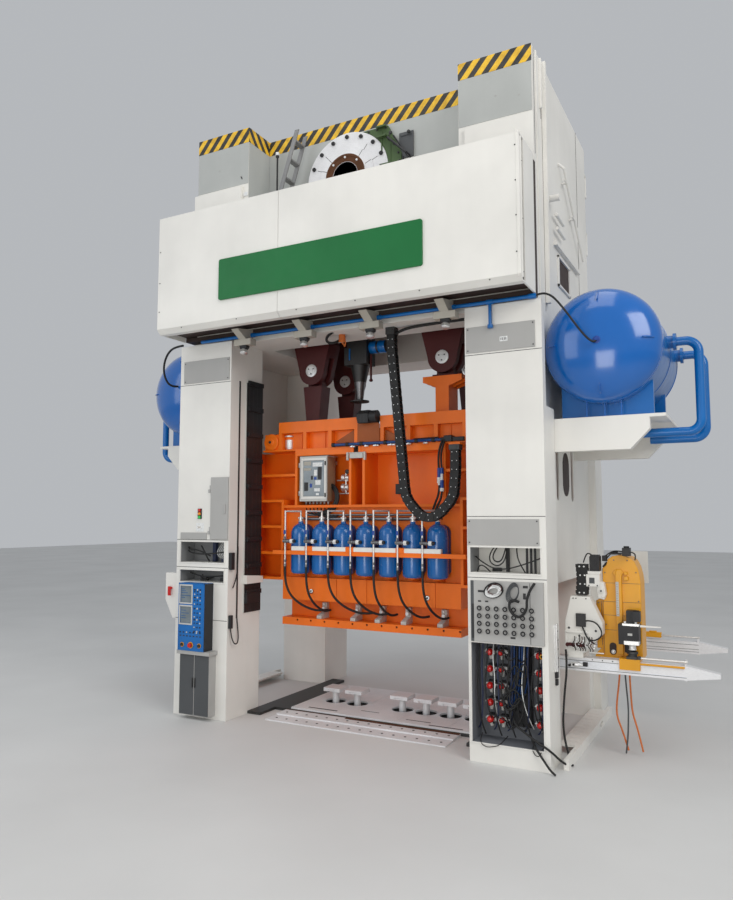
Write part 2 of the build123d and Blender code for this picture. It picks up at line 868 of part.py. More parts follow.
with BuildPart() as slide_beams:
    for end in (-1, 1):
        near, far = sorted((end * slide_rear_y, end * (slide_rear_y - beam_depth)))
        wall_low, wall_high = sorted(
            (end * (slide_rear_y - beam_depth), end * (slide_rear_y - beam_depth + beam_wall))
        )
        for low_x, high_x in beam_spans:
            block((low_x, near, beam_top - beam_height), (high_x, far, beam_top))
            block((low_x, wall_low, slide_top), (high_x, wall_high, beam_top - beam_height))
            pitch = (high_x - low_x - beam_post) / (beam_post_count - 1)
            for step in range(beam_post_count):
                x = low_x + step * pitch
                block((x, near, slide_top), (x + beam_post, far, beam_top - beam_height))
slide_beams.part.label = "slide_beams"
export_step(slide_beams.part, "parts/slide_beams.step")

# Motor in the gap between the upper beams, on a bracket
motor_radius = 92.0
motor_length = 308.0
motor_x = (beam_spans[0][1] + beam_spans[1][0]) / 2
motor_y = slide_front_y - 10
motor_z = beam_top - 10
motor_foot_half_width = 75.0

with BuildPart() as slide_motor:
    block(
        (motor_x - motor_foot_half_width, slide_front_y + 5, slide_top),
        (motor_x + motor_foot_half_width, slide_front_y + 190, motor_z - 60),
    )
    drum((motor_x - motor_length / 2, motor_y, motor_z), (1, 0, 0), motor_radius, motor_length)
slide_motor.part.label = "slide_motor"
export_step(slide_motor.part, "parts/slide_motor.step")

# Lubricator and steel device on the left end of the top plate
lubricator_x = (-1828.0, -1560.0)
lubricator_y = (-930.0, -640.0)
lubricator_height = 248.0
pump_x = -1425.0
pump_y = -830.0
pump_radius = 62.0
pump_height = 210.0

with BuildPart() as lubricator:
    block(
        (lubricator_x[0], lubricator_y[0], slide_top),
        (lubricator_x[1], lubricator_y[1], slide_top + lubricator_height),
    )
    drum((pump_x, pump_y, slide_top), (0, 0, 1), pump_radius, pump_height)
lubricator.part.label = "lubricator"
export_step(lubricator.part, "parts/lubricator.step")

# Control cabinet on rails in the slide's recess, with a hinged door
cabinet_left_x = -1157.0
cabinet_right_x = -675.0
cabinet_front_y = slide_front_y + 20
cabinet_rear_y = slide_front_y + 258
cabinet_base_z = 3172.0
cabinet_top_z = 3855.0
cabinet_shell = 30.0
cabinet_door_thickness = 20.0
cabinet_hinges = (cabinet_base_z + 118, cabinet_top_z - 135)
cabinet_pin_x = cabinet_left_x - hinge_reach
cabinet_pin_y = hinge_axis_y(cabinet_front_y, cabinet_door_thickness)
cabinet_rails = (cabinet_base_z + 60, cabinet_top_z - 110)
cabinet_rail_height = 50.0
cabinet_knuckle = 40.0
cabinet_lug = 30.0
pane_depth = 10.0
pane_edges = (55.0, 45.0, 70.0, 60.0)

with BuildPart() as slide_cabinet:
    block(
        (cabinet_left_x, cabinet_front_y, cabinet_base_z),
        (cabinet_right_x, cabinet_rear_y, cabinet_top_z),
    )
    block(
        (cabinet_left_x + cabinet_shell, cabinet_front_y, cabinet_base_z + cabinet_shell),
        (cabinet_right_x - cabinet_shell, cabinet_rear_y - cabinet_shell, cabinet_top_z - cabinet_shell),
        mode=Mode.SUBTRACT,
    )
    for z in cabinet_rails:
        block(
            (cabinet_left_x + 60, cabinet_rear_y, z),
            (cabinet_right_x - 60, -panel_y, z + cabinet_rail_height),
        )
    for z in cabinet_hinges:
        block(
            (cabinet_pin_x - 10, cabinet_front_y, z - cabinet_lug),
            (cabinet_left_x, cabinet_front_y + 40, z),
        )
        block(
            (cabinet_pin_x - 10, cabinet_front_y - 14, z - cabinet_lug),
            (cabinet_left_x - 8, cabinet_front_y, z),
        )
        drum((cabinet_pin_x, cabinet_pin_y, z), (0, 0, 1), hinge_pin_radius, cabinet_knuckle)
slide_cabinet.part.label = "slide_cabinet"
export_step(slide_cabinet.part, "parts/slide_cabinet.step")

with BuildPart() as cabinet_door:
    door_back = cabinet_front_y - seat_gap
    door_front = door_back - cabinet_door_thickness
    block((cabinet_left_x, door_front, cabinet_base_z), (cabinet_right_x, door_back, cabinet_top_z))
    block(
        (cabinet_left_x + pane_edges[0], door_front, cabinet_base_z + pane_edges[2]),
        (cabinet_right_x - pane_edges[1], door_front + pane_depth, cabinet_top_z - pane_edges[3]),
        mode=Mode.SUBTRACT,
    )
    for z in cabinet_hinges:
        base = z + hinge_play
        top = z + cabinet_knuckle
        block((cabinet_pin_x, door_front, base), (cabinet_left_x, door_back - 5, top))
        drum((cabinet_pin_x, cabinet_pin_y, base), (0, 0, 1), barrel_radius, top - base)
        drum(
            (cabinet_pin_x, cabinet_pin_y, base - 1),
            (0, 0, 1),
            hinge_pin_radius + pin_clearance,
            cabinet_knuckle + 2,
            Mode.SUBTRACT,
        )
cabinet_door.part.label = "cabinet_door"
export_step(cabinet_door.part, "parts/cabinet_door.step")

# Balancing bottles on the slide face
bottle_count = 7
bottle_pitch = 373.0
bottle_x = 20.0
bottle_y = slide_front_y - 50
bottle_radius = 146.0
bottle_top = 2835.0
shoulder = 95.0
neck_radius = 36.0
neck_top = bottle_top + 35
bottle_columns = [
    bottle_x + bottle_pitch * (step - (bottle_count - 1) / 2) for step in range(bottle_count)
]

with BuildPart() as bottles:
    for x in bottle_columns:
        with BuildSketch(Plane(origin=(x, bottle_y, 0), x_dir=(1, 0, 0), z_dir=(0, -1, 0))) as half:
            with BuildLine():
                Polyline(
                    (0, bottle_base),
                    (bottle_radius * 0.55, bottle_base),
                    (bottle_radius, bottle_base + shoulder),
                    (bottle_radius, bottle_top - shoulder),
                    (bottle_radius * 0.62, bottle_top - 16),
                    (neck_radius, bottle_top),
                    (neck_radius, neck_top),
                    (0, neck_top),
                    close=True,
                )
            make_face()
        revolve(half.sketch, axis=Axis((x, bottle_y, 0), (0, 0, 1)))
bottles.part.label = "bottles"
export_step(bottles.part, "parts/bottles.step")

# Rack: white rail on the orange bar, arms to the slide and shelves under the bottles
rail_size = 60.0
rail_depth = 50.0
rail_y = bottle_y - bottle_radius
bar_ends = (-1475.0, 1616.0)
rail_ends = (-1134.0, 1259.0)
bar_base = 2376.0

with BuildPart() as bottle_rack:
    block((bar_ends[0], rail_y - rail_depth, bar_base), (bar_ends[1], rail_y, bar_base + rail_size))
    block(
        (rail_ends[0], rail_y - rail_depth, bar_base + rail_size),
        (rail_ends[1], rail_y, bar_base + 2 * rail_size),
    )
    for x in (-slide_body_half_width + 5, slide_body_half_width - 45):
        block((x, rail_y, bar_base), (x + 40, -body_y, bar_base + rail_size))
    for x in bottle_columns:
        with BuildSketch(Plane.YZ.offset(x - 50)):
            with BuildLine():
                Polyline(
                    (-body_y, bottle_base),
                    (bottle_y - 60, bottle_base),
                    (bottle_y - 60, bottle_base - 12),
                    (-body_y, bottle_base - 55),
                    close=True,
                )
            make_face()
        extrude(amount=100)
bottle_rack.part.label = "bottle_rack"
export_step(bottle_rack.part, "parts/bottle_rack.step")

# Chrome outlet pipes: an inverted U from each bottle neck down past the front of the rail
outlet_rise = 150.0
outlet_shift = -140.0
outlet_radius = 14.0
outlet_foot = 2225.0
outlet_y = rail_y - rail_depth - outlet_radius
collar_radius_small = 26.0
valve_block_width = 150.0
valve_block_height = 40.0

with BuildPart() as bottle_pipes:
    for x in bottle_columns:
        drum((x, bottle_y, neck_top), (0, 0, 1), collar_radius_small, 60)
        with BuildLine() as route:
            Polyline(
                (x, bottle_y, neck_top + 58),
                (x, bottle_y, neck_top + outlet_rise),
                (x + outlet_shift, outlet_y, neck_top + outlet_rise),
                (x + outlet_shift, outlet_y, outlet_foot),
            )
        with BuildSketch(Plane.XY.offset(neck_top + 58)) as section:
            with Locations((x, bottle_y)):
                Circle(outlet_radius)
        sweep(section.sketch, path=route.wires()[0], transition=Transition.RIGHT)
        block(
            (x + outlet_shift - 20, outlet_y - 20, bar_base + 3 * rail_size),
            (
                x + outlet_shift - 20 + valve_block_width,
                outlet_y + 20,
                bar_base + 3 * rail_size + valve_block_height,
            ),
        )
bottle_pipes.part.label = "bottle_pipes"
export_step(bottle_pipes.part, "parts/bottle_pipes.step")

# Grey clamps in the lower recess
clamp_centres = (-815.0, -242.0, 159.0, 574.0, 1128.0)
clamp_width = 80.0

with BuildPart() as recess_clamps:
    for x in clamp_centres:
        with BuildSketch(Plane.YZ.offset(x - clamp_width / 2)):
            with BuildLine():
                Polyline(
                    (-recess_y, flange_strip_top),
                    (slide_front_y + 30, flange_strip_top),
                    (slide_front_y + 30, flange_strip_top + 45),
                    (-recess_y - 70, flange_strip_top + 95),
                    (-recess_y - 70, recess_top - 40),
                    (-recess_y, recess_top - 40),
                    close=True,
                )
            make_face()
        extrude(amount=clamp_width)
recess_clamps.part.label = "recess_clamps"
export_step(recess_clamps.part, "parts/recess_clamps.step")

# Energy chain hanging between the crown and the slide
with BuildPart() as energy_chain:
    chain_top = Vector(chain_top_x, chain_y, crown_base)
    chain_knee = Vector(chain_top_x, chain_y, crown_base - chain_top_run)
    with BuildLine() as route:
        FilletPolyline(
            chain_top,
            chain_knee,
            *chain_loop,
            (chain_end.X, chain_y, chain_end.Z - chain_end_run),
            chain_end,
            radius=list(chain_bends),
        )
    with BuildSketch(Plane(origin=chain_top, z_dir=chain_knee - chain_top)) as section:
        Rectangle(chain_height, chain_width)
    spine = route.wires()[0]
    sweep(section.sketch, path=spine)
    # Grooves between the links, cut into both side faces
    link_count = int(spine.length / chain_pitch)
    joints = [spine.position_at(step / link_count) for step in range(1, link_count)]
    turns = [spine.tangent_at(step / link_count) for step in range(1, link_count)]
    for side in (-1, 1):
        shift = Vector(0, side * chain_width / 2, 0)
        planes = [
            Plane(origin=place + shift, x_dir=turn, z_dir=(0, 1, 0))
            for place, turn in zip(joints, turns)
        ]
        with Locations(*planes):
            Box(chain_groove, 2 * chain_height, chain_groove, mode=Mode.SUBTRACT)
energy_chain.part.label = "energy_chain"
export_step(energy_chain.part, "parts/energy_chain.step")

# Connecting rods, wrist pins and plungers
leg_width = 340.0
leg_foot_width = 240.0
leg_depth = 260.0
leg_waist = 4490.0
pedestal_top = 4964.0
leg_top = pin_z - rod_head_radius - 20
tongue_radius = 170.0
slot_width_y = plunger_thickness + 20
rod_places = (
    ("front_left", -1, -1),
    ("front_right", 1, -1),
    ("rear_left", -1, 1),
    ("rear_right", 1, 1),
)

for place, side, end in rod_places:
    with BuildPart() as rod:
        x = side * rod_x
        y = end * rod_y
        with BuildSketch(Plane.XZ.offset(-y - rod_thickness / 2)):
            with BuildLine():
                Polyline(
                    (x - rod_head_radius, pin_z),
                    (x - rod_waist_half_width, rod_waist_z),
                    (x - rod_top_half_width, rod_eye_z),
                    (x + rod_top_half_width, rod_eye_z),
                    (x + rod_waist_half_width, rod_waist_z),
                    (x + rod_head_radius, pin_z),
                    close=True,
                )
            make_face()
            with Locations((x, pin_z)):
                Circle(rod_head_radius)
            with Locations((x, rod_eye_z)):
                Circle(rod_eye_radius)
                Circle(rod_eye_bore, mode=Mode.SUBTRACT)
            with Locations((x, pin_z)):
                Circle(pin_radius + pin_clearance, mode=Mode.SUBTRACT)
        extrude(amount=rod_thickness)
        block(
            (x - 2 * rod_head_radius, y - slot_width_y / 2, pin_z - rod_head_radius - 1),
            (x + 2 * rod_head_radius, y + slot_width_y / 2, pin_z + tongue_radius + 40),
            mode=Mode.SUBTRACT,
        )
    rod.part.label = f"rod_{place}"
    export_step(rod.part, f"parts/rod_{place}.step")

with BuildPart() as wrist_pins:
    for place, side, end in rod_places:
        start = (side * rod_x, end * rod_y + rod_thickness / 2 + 10, pin_z)
        drum(start, (0, -1, 0), pin_radius, rod_thickness + 20)
wrist_pins.part.label = "wrist_pins"
export_step(wrist_pins.part, "parts/wrist_pins.step")

short_leg = "front_right"

with BuildPart() as plungers:
    for place, side, end in rod_places:
        x = side * rod_x
        y = end * rod_y
        with BuildSketch(Plane.XZ.offset(-y - leg_depth / 2)):
            with BuildLine():
                Polyline(
                    (x - leg_foot_width / 2, slide_top),
                    (x - leg_foot_width / 2, leg_waist),
                    (x - leg_width / 2, leg_top),
                    (x + leg_width / 2, leg_top),
                    (x + leg_foot_width / 2, leg_waist),
                    (x + leg_foot_width / 2, slide_top),
                    close=True,
                )
            make_face()
            if place == short_leg:
                with Locations((x, (slide_top + pedestal_top) / 2)):
                    Rectangle(leg_width, pedestal_top - slide_top, mode=Mode.SUBTRACT)
        extrude(amount=leg_depth)
        with BuildSketch(Plane.XZ.offset(-y - plunger_thickness / 2)):
            with Locations((x, pin_z)):
                Circle(tongue_radius)
            with Locations((x, (pin_z + leg_top) / 2)):
                Rectangle(2 * tongue_radius - 80, pin_z - leg_top)
            with Locations((x, pin_z)):
                Circle(pin_radius, mode=Mode.SUBTRACT)
        extrude(amount=plunger_thickness)
plungers.part.label = "plungers"
export_step(plungers.part, "parts/plungers.step")

# Pedestal under the right front plunger: a post that carries a gusseted flange
pedestal_half_width = 300.0
pedestal_half_depth = slide_rear_y - beam_depth - rod_y
pedestal_flange = 45.0
gusset_height = 112.0
gusset_edge = 40.0
gusset_thickness = 30.0
post_half_width = 102.0
flange_base = pedestal_top - pedestal_flange

with BuildPart() as pedestal:
    block(
        (rod_x - pedestal_half_width, -rod_y - pedestal_half_depth, flange_base),
        (rod_x + pedestal_half_width, -rod_y + pedestal_half_depth, pedestal_top),
    )
    block(
        (rod_x - post_half_width, -rod_y - pedestal_half_depth, slide_top),
        (rod_x + post_half_width, -rod_y + pedestal_half_depth, flange_base),
    )
    for offset in (pedestal_half_depth, gusset_thickness / 2, gusset_thickness - pedestal_half_depth):
        with BuildSketch(Plane.XZ.offset(rod_y + offset)):
            with BuildLine():
                Polyline(
                    (rod_x - pedestal_half_width, flange_base),
                    (rod_x - pedestal_half_width, flange_base - gusset_edge),
                    (rod_x - post_half_width, flange_base - gusset_height),
                    (rod_x + post_half_width, flange_base - gusset_height),
                    (rod_x + pedestal_half_width, flange_base - gusset_edge),
                    (rod_x + pedestal_half_width, flange_base),
                    close=True,
                )
            make_face()
        extrude(amount=-gusset_thickness)
pedestal.part.label = "pedestal"
export_step(pedestal.part, "parts/pedestal.step")

# Unit hanging from the crown: hanger, gearbox, motor, cone and foot
unit_x = -460.0
unit_y = -300.0
unit_top = 5864.0
gearbox_base = 5326.0
gearbox_top = 5608.0
gearbox_right_x = unit_x + 197
unit_half_depth = 150.0
hanger_half_depth = 120.0
unit_motor_z = 5600.0
unit_motor_radius = 95.0
unit_motor_length = 282.0
cone_top_radius = 145.0
cone_neck_radius = 54.0
cone_neck_z = 4880.0
foot_radius = 150.0
foot_base = 4745.0
foot_thickness = 20.0

with BuildPart() as hanging_unit:
    block(
        (unit_x - 20, unit_y - hanger_half_depth, unit_top),
        (unit_x + 150, unit_y + hanger_half_depth, cavity_top),
    )
    block(
        (unit_x - 149, unit_y - unit_half_depth, gearbox_top),
        (unit_x + 196, unit_y + unit_half_depth, unit_top),
    )
    block(
        (unit_x - 203, unit_y - unit_half_depth, gearbox_base),
        (gearbox_right_x, unit_y + unit_half_depth, gearbox_top),
    )
    drum((gearbox_right_x, unit_y, unit_motor_z), (1, 0, 0), unit_motor_radius, unit_motor_length)
    with BuildSketch(Plane(origin=(unit_x, unit_y, 0), x_dir=(1, 0, 0), z_dir=(0, -1, 0))) as half:
        with BuildLine():
            Polyline(
                (0, foot_base),
                (foot_radius, foot_base),
                (foot_radius, foot_base + foot_thickness),
                (cone_neck_radius - 14, foot_base + foot_thickness + 10),
                (cone_neck_radius, cone_neck_z),
                (cone_top_radius, gearbox_base),
                (0, gearbox_base),
                close=True,
            )
        make_face()
    revolve(half.sketch, axis=Axis((unit_x, unit_y, 0), (0, 0, 1)))
hanging_unit.part.label = "hanging_unit"
export_step(hanging_unit.part, "parts/hanging_unit.step")

# Slide guides on the rear and front column faces
guide_base_z = 1500.0
guide_top_z = 5000.0
guide_width = 160.0

with BuildPart() as slide_guides:
    for side in (-1, 1):
        for end in (-1, 1):
            outer = slide_half_width - 10
            low_x, high_x = sorted((side * outer, side * (outer - guide_width)))
            low_y, high_y = sorted((end * column_inner_y, end * (slide_rear_y + running_gap)))
            block((low_x, low_y, guide_base_z), (high_x, high_y, guide_top_z))
slide_guides.part.label = "slide_guides"
export_step(slide_guides.part, "parts/slide_guides.step")

# Air tanks with nozzles and saddles
pipe_top_z = 5100.0
nozzle_radius = 80.0
nozzle_reach = tank_radius + 60
saddle_width = tank_radius * 11 / 7
saddle_thickness = 60.0
saddle_insets = (170.0, 230.0)


def pipe_columns(shift):
    """Depths of the two pipes of a tank that stands back by shift."""
    return (tank_front_y + 550 + shift, tank_front_y + 1450 + shift / 2)


with BuildPart() as air_tanks:
    for side, shift in ((-1, left_tank_shift), (1, 0.0)):
        x = side * tank_x
        start = tank_front_y + shift
        plane = Plane(origin=(x, 0, tank_z), x_dir=(0, 1, 0), z_dir=(1, 0, 0))
        with BuildSketch(plane) as half:
            with BuildLine():
                Polyline(
                    (start - tank_dome, 0),
                    (start - tank_dome, tank_radius * 0.36),
                    (start - tank_dome * 0.78, tank_radius * 0.66),
                    (start - tank_dome * 0.42, tank_radius * 0.9),
                    (start, tank_radius),
                    (start + tank_length, tank_radius),
                    (start + tank_length + tank_dome * 0.42, tank_radius * 0.9),
                    (start + tank_length + tank_dome * 0.78, tank_radius * 0.66),
                    (start + tank_length + tank_dome, tank_radius * 0.36),
                    (start + tank_length + tank_dome, 0),
                    close=True,
                )
            make_face()
        revolve(half.sketch, axis=Axis((x, 0, tank_z), (0, 1, 0)))
        for y in pipe_columns(shift):
            drum((x, y, pipe_top_z), (side, 0, 0), nozzle_radius, nozzle_reach)
        for y in (start + saddle_insets[0], start + tank_length - saddle_insets[1]):
            with BuildSketch(Plane.XZ.offset(-y - saddle_thickness / 2)):
                with Locations((x, (platform_top + tank_z) / 2)):
                    Rectangle(saddle_width, tank_z - platform_top)
                with Locations((x, tank_z)):
                    Circle(tank_radius - 5, mode=Mode.SUBTRACT)
            extrude(amount=-saddle_thickness)
air_tanks.part.label = "air_tanks"
export_step(air_tanks.part, "parts/air_tanks.step")

# Brackets and platforms that carry the tanks
bracket_base = 3743.0
bracket_reach = 3970.0
platform_reach = tank_x + tank_radius - 5
bracket_width = 120.0
bracket_slant = 230.0
bracket_rise = 240.0
platform_sheet = 40.0
platform_front_y = tank_front_y + 40
platform_rear_y = 420.0

with BuildPart() as tank_brackets:
    for side, shift in ((-1, left_tank_shift), (1, 0.0)):
        for y in (platform_front_y + shift, platform_rear_y - bracket_width + shift / 3):
            with BuildSketch(Plane.XZ.offset(-y - bracket_width)):
                with BuildLine():
                    Polyline(
                        (side * outer_x, bracket_base),
                        (side * (bracket_reach - bracket_slant), bracket_base),
                        (side * bracket_reach, bracket_base + bracket_rise),
                        (side * bracket_reach, platform_top - platform_sheet),
                        (side * outer_x, platform_top - platform_sheet),
                        close=True,
                    )
                make_face()
            extrude(amount=bracket_width)
        low_x, high_x = sorted((side * outer_x, side * platform_reach))
        block(
            (low_x, platform_front_y + shift, platform_top - platform_sheet),
            (high_x, platform_rear_y + shift / 3, platform_top),
        )
tank_brackets.part.label = "tank_brackets"
export_step(tank_brackets.part, "parts/tank_brackets.step")

# Pipes on the outer side of the tanks
pipe_radius = 55.0
pipe_turn = 150.0
pipe_drop_x = 4500.0
pipe_end_x = 3800.0
pipe_low_z = 3975.0
pipe_flange_radius = 105.0
pipe_flange = 36.0

with BuildPart() as tank_pipes:
    for side, shift in ((-1, left_tank_shift), (1, 0.0)):
        for y in pipe_columns(shift):
            tube(
                [
                    (side * (tank_x + nozzle_reach), y, pipe_top_z),
                    (side * pipe_drop_x, y, pipe_top_z),
                    (side * pipe_drop_x, y, pipe_low_z),
                    (side * pipe_end_x, y, pipe_low_z),
                ],
                pipe_turn,
                pipe_radius,
            )
            drum(
                (side * (tank_x + nozzle_reach), y, pipe_top_z),
                (side, 0, 0),
                pipe_flange_radius,
                pipe_flange,
            )
tank_pipes.part.label = "tank_pipes"
export_step(tank_pipes.part, "parts/tank_pipes.step")

# Operator panel on the left casing
panel_front_y = -1980.0
panel_left_x = -2600.0
panel_right_x = -2120.0
panel_base = cabinet_top + ledge_thickness
panel_top = 1960.0
screen_width = 210.0
screen_height = 240.0
screen_x = -2465.0
screen_centres = (1500.0, 1800.0)
screen_depth = 12.0
button_z = 1070.0
button_travel = 8.0
button_bore = 12.0
button_places = (("start_button_left", -2520.0), ("start_button_right", -2200.0))
stop_x = -2360.0

with BuildPart() as operator_panel:
    block((panel_left_x, panel_front_y, panel_base), (panel_right_x, -face_y, panel_top))
    for z in screen_centres:
        block(
            (screen_x - screen_width / 2, panel_front_y, z - screen_height / 2),
            (screen_x + screen_width / 2, panel_front_y + screen_depth, z + screen_height / 2),
            mode=Mode.SUBTRACT,
        )
    for x in [stop_x] + [x for _, x in button_places]:
        drum(
            (x, panel_front_y - 1, button_z),
            (0, 1, 0),
            button_bore + pin_clearance,
            50,
            Mode.SUBTRACT,
        )
operator_panel.part.label = "operator_panel"
export_step(operator_panel.part, "parts/operator_panel.step")

with BuildPart() as key_switch:
    drum((key_x, -face_y + 20, key_z), (0, -1, 0), key_radius, 44)
    block((key_x - 3, -face_y - 60, key_z - 16), (key_x + 3, -face_y - 24, key_z + 16))
key_switch.part.label = "key_switch"
export_step(key_switch.part, "parts/key_switch.step")

for name, x in (("stop_button", stop_x),) + button_places:
    with BuildPart() as button:
        head = 32 if name == "stop_button" else 22
        reach = 34 if name == "stop_button" else 20
        drum((x, panel_front_y + 30, button_z), (0, -1, 0), button_bore, 30 + button_travel + 4)
        drum((x, panel_front_y - button_travel - 3, button_z), (0, -1, 0), head, reach - button_travel)
    button.part.label = name
    export_step(button.part, f"parts/{name}.step")

# Side box with its disconnect handle
handle_x = -2960.0
handle_z = 1850.0
handle_shaft = 20.0
side_box_front = -1750.0
side_box_depth = 300.0
side_box_x = -3077.0
side_box_base = 1403.0
side_box_top = 2080.0
side_box_slant = 272.0

with BuildPart() as side_box:
    with BuildSketch(Plane.XZ.offset(-side_box_front)):
        with BuildLine():
            Polyline(
                (-casing_x, side_box_base),
                (side_box_x + 147, side_box_base),
                (side_box_x, side_box_base + side_box_slant),
                (side_box_x, side_box_top),
                (-casing_x, side_box_top),
                close=True,
            )
        make_face()
    extrude(amount=-side_box_depth)
    drum(
        (handle_x, side_box_front - 1, handle_z),
        (0, 1, 0),
        handle_shaft + pin_clearance,
        60,
        Mode.SUBTRACT,
    )
side_box.part.label = "side_box"
export_step(side_box.part, "parts/side_box.step")

with BuildPart() as disconnect_handle:
    drum((handle_x, side_box_front + 50, handle_z), (0, -1, 0), handle_shaft, 84)
    block(
        (handle_x - 22, side_box_front - 58, handle_z - 110),
        (handle_x + 22, side_box_front - 34, handle_z + 28),
    )
disconnect_handle.part.label = "disconnect_handle"
export_step(disconnect_handle.part, "parts/disconnect_handle.step")

# Gauge panel: box with a grid of round gauges
gauge_columns = 7
gauge_rows = 4
gauge_pitch_x = 107.0
gauge_pitch_z = 91.0
gauge_radius = 36.0
gauge_height = 22.0
gauge_middle = (2343.0, 1696.5)
gauge_box_x = (1905.0, 2800.0)
gauge_box_z = (1430.0, 2160.0)
gauge_box_depth = 40.0

with BuildPart() as gauge_panel:
    block(
        (gauge_box_x[0], -face_y - gauge_box_depth, gauge_box_z[0]),
        (gauge_box_x[1], -face_y, gauge_box_z[1]),
    )
    with BuildSketch(Plane.XZ.offset(face_y + gauge_box_depth)):
        with Locations(gauge_middle):
            with GridLocations(gauge_pitch_x, gauge_pitch_z, gauge_columns, gauge_rows):
                Circle(gauge_radius)
    extrude(amount=gauge_height)
gauge_panel.part.label = "gauge_panel"
export_step(gauge_panel.part, "parts/gauge_panel.step")

# Pressure regulators in the valve window
regulator_columns = (2070.0, 2216.0, 2685.0)
regulator_rows = 5
regulator_pitch = 200.0
regulator_base_z = 480.0
regulator_size = 90.0
regulator_knob_radius = 30.0
regulator_knob_length = 60.0
manifold_x = (2330.0, 2560.0)
manifold_z = (420.0, 1380.0)
manifold_depth = 120.0

with BuildPart() as regulators:
    back_y = -face_y + niche_depth
    half = regulator_size / 2
    for x in regulator_columns:
        for step in range(regulator_rows):
            z = regulator_base_z + regulator_pitch * step
            block((x - half, back_y - regulator_size, z - half), (x + half, back_y, z + half))
            drum(
                (x, back_y - regulator_size, z),
                (0, -1, 0),
                regulator_knob_radius,
                regulator_knob_length,
            )
    block(
        (manifold_x[0], back_y - manifold_depth, manifold_z[0]),
        (manifold_x[1], back_y, manifold_z[1]),
    )
regulators.part.label = "regulators"
export_step(regulators.part, "parts/regulators.step")

# Transfer unit at the right window: two rails held by the columns
rail_offset = 950.0
rail_half_width = 60.0
rail_base = 1036.0
rail_top = 1200.0
rail_end_x = 4250.0
tip_end_x = 4608.0
tip_height = 50.0
rail_stop = 20.0

with BuildPart() as transfer_rails:
    for end in (-1, 1):
        with BuildSketch(Plane.XZ.offset(-end * rail_offset - rail_half_width)):
            with BuildLine():
                Polyline(
                    (outer_x, rail_base),
                    (rail_end_x, rail_base),
                    (tip_end_x, rail_base + tip_height),
                    (tip_end_x, rail_base + 2 * tip_height),
                    (rail_end_x, rail_top),
                    (outer_x, rail_top),
                    close=True,
                )
            make_face()
        extrude(amount=2 * rail_half_width)
        block(
            (rail_end_x - rail_stop, end * rail_offset - rail_half_width, rail_base - 10),
            (rail_end_x, end * rail_offset + rail_half_width, rail_top + 60),
        )
transfer_rails.part.label = "transfer_rails"
export_step(transfer_rails.part, "parts/transfer_rails.step")

# Yellow column on the front rail: arched plate on a flared foot
column_front_y = -850.0
column_rear_y = -500.0
column_left_x = 3240.0
column_right_x = 3750.0
column_top = 2460.0
arch_rise = 330.0

with BuildPart() as transfer_column:
    with BuildSketch(Plane.XZ.offset(-column_rear_y)):
        with BuildLine():
            Polyline(
                (column_left_x + 60, column_top - arch_rise),
                (column_left_x + 20, rail_top + 160),
                (column_left_x - 60, rail_top + 20),
                (column_left_x - 60, rail_top),
                (column_right_x, rail_top),
                (column_right_x, column_top - 2 * arch_rise),
                (column_right_x - 40, column_top - arch_rise),
            )
            ThreePointArc(
                (column_right_x - 40, column_top - arch_rise),
                ((column_left_x + column_right_x) / 2 + 20, column_top),
                (column_left_x + 60, column_top - arch_rise),
            )
        make_face()
        with Locations((column_left_x + 131, rail_top + 86)):
            SlotOverall(92, 60, rotation=90, mode=Mode.SUBTRACT)
    extrude(amount=column_rear_y - column_front_y)
    block(
        (column_left_x + 190, column_front_y - 28, rail_top + 40),
        (column_left_x + 225, column_front_y, column_top - arch_rise),
    )
    block(
        (column_left_x - 60, -rail_offset - rail_half_width, rail_top),
        (column_left_x + 220, column_front_y, rail_top + 24),
    )
transfer_column.part.label = "transfer_column"
export_step(transfer_column.part, "parts/transfer_column.step")

# Lift head with the servo motor, on the front of the column
head_left_x = 3500.0
head_right_x = 3735.0
head_base_z = 1400.0
head_top_z = 1640.0
head_depth = 190.0
head_cap_height = 160.0
head_drum_radius = 62.0
head_drum_length = 100.0

with BuildPart() as lift_head:
    block(
        (head_left_x, column_front_y - head_depth, head_base_z),
        (head_right_x, column_front_y - seat_gap, head_top_z),
    )
    block(
        (head_left_x + 90, column_front_y - 150, head_top_z),
        (head_right_x - 40, column_front_y - 20, head_top_z + head_cap_height),
    )
    drum(
        ((head_left_x + head_right_x) / 2, column_front_y - 105, head_base_z - head_drum_length),
        (0, 0, 1),
        head_drum_radius,
        head_drum_length,
    )
lift_head.part.label = "lift_head"
export_step(lift_head.part, "parts/lift_head.step")

# Clamp carriage that straddles the front rail, with its push rod
clamp_left_x = 3501.0
clamp_right_x = 3740.0
clamp_wall = 26.0
push_rod_radius = 14.0
push_rod_length = 490.0

with BuildPart() as clamp_carriage:
    with BuildSketch(Plane.YZ.offset(clamp_left_x)):
        with Locations((-rail_offset, rail_top - 35)):
            Rectangle(2 * (rail_half_width + clamp_wall), 130)
        with Locations((-rail_offset, rail_top - 60)):
            Rectangle(2 * (rail_half_width + seat_gap), 2 * (60 + seat_gap), mode=Mode.SUBTRACT)
    extrude(amount=clamp_right_x - clamp_left_x)
    drum(
        (clamp_right_x, -rail_offset - rail_half_width - push_rod_radius, rail_top - 20),
        (1, 0, 0),
        push_rod_radius - 2,
        push_rod_length,
    )
clamp_carriage.part.label = "clamp_carriage"
export_step(clamp_carriage.part, "parts/clamp_carriage.step")

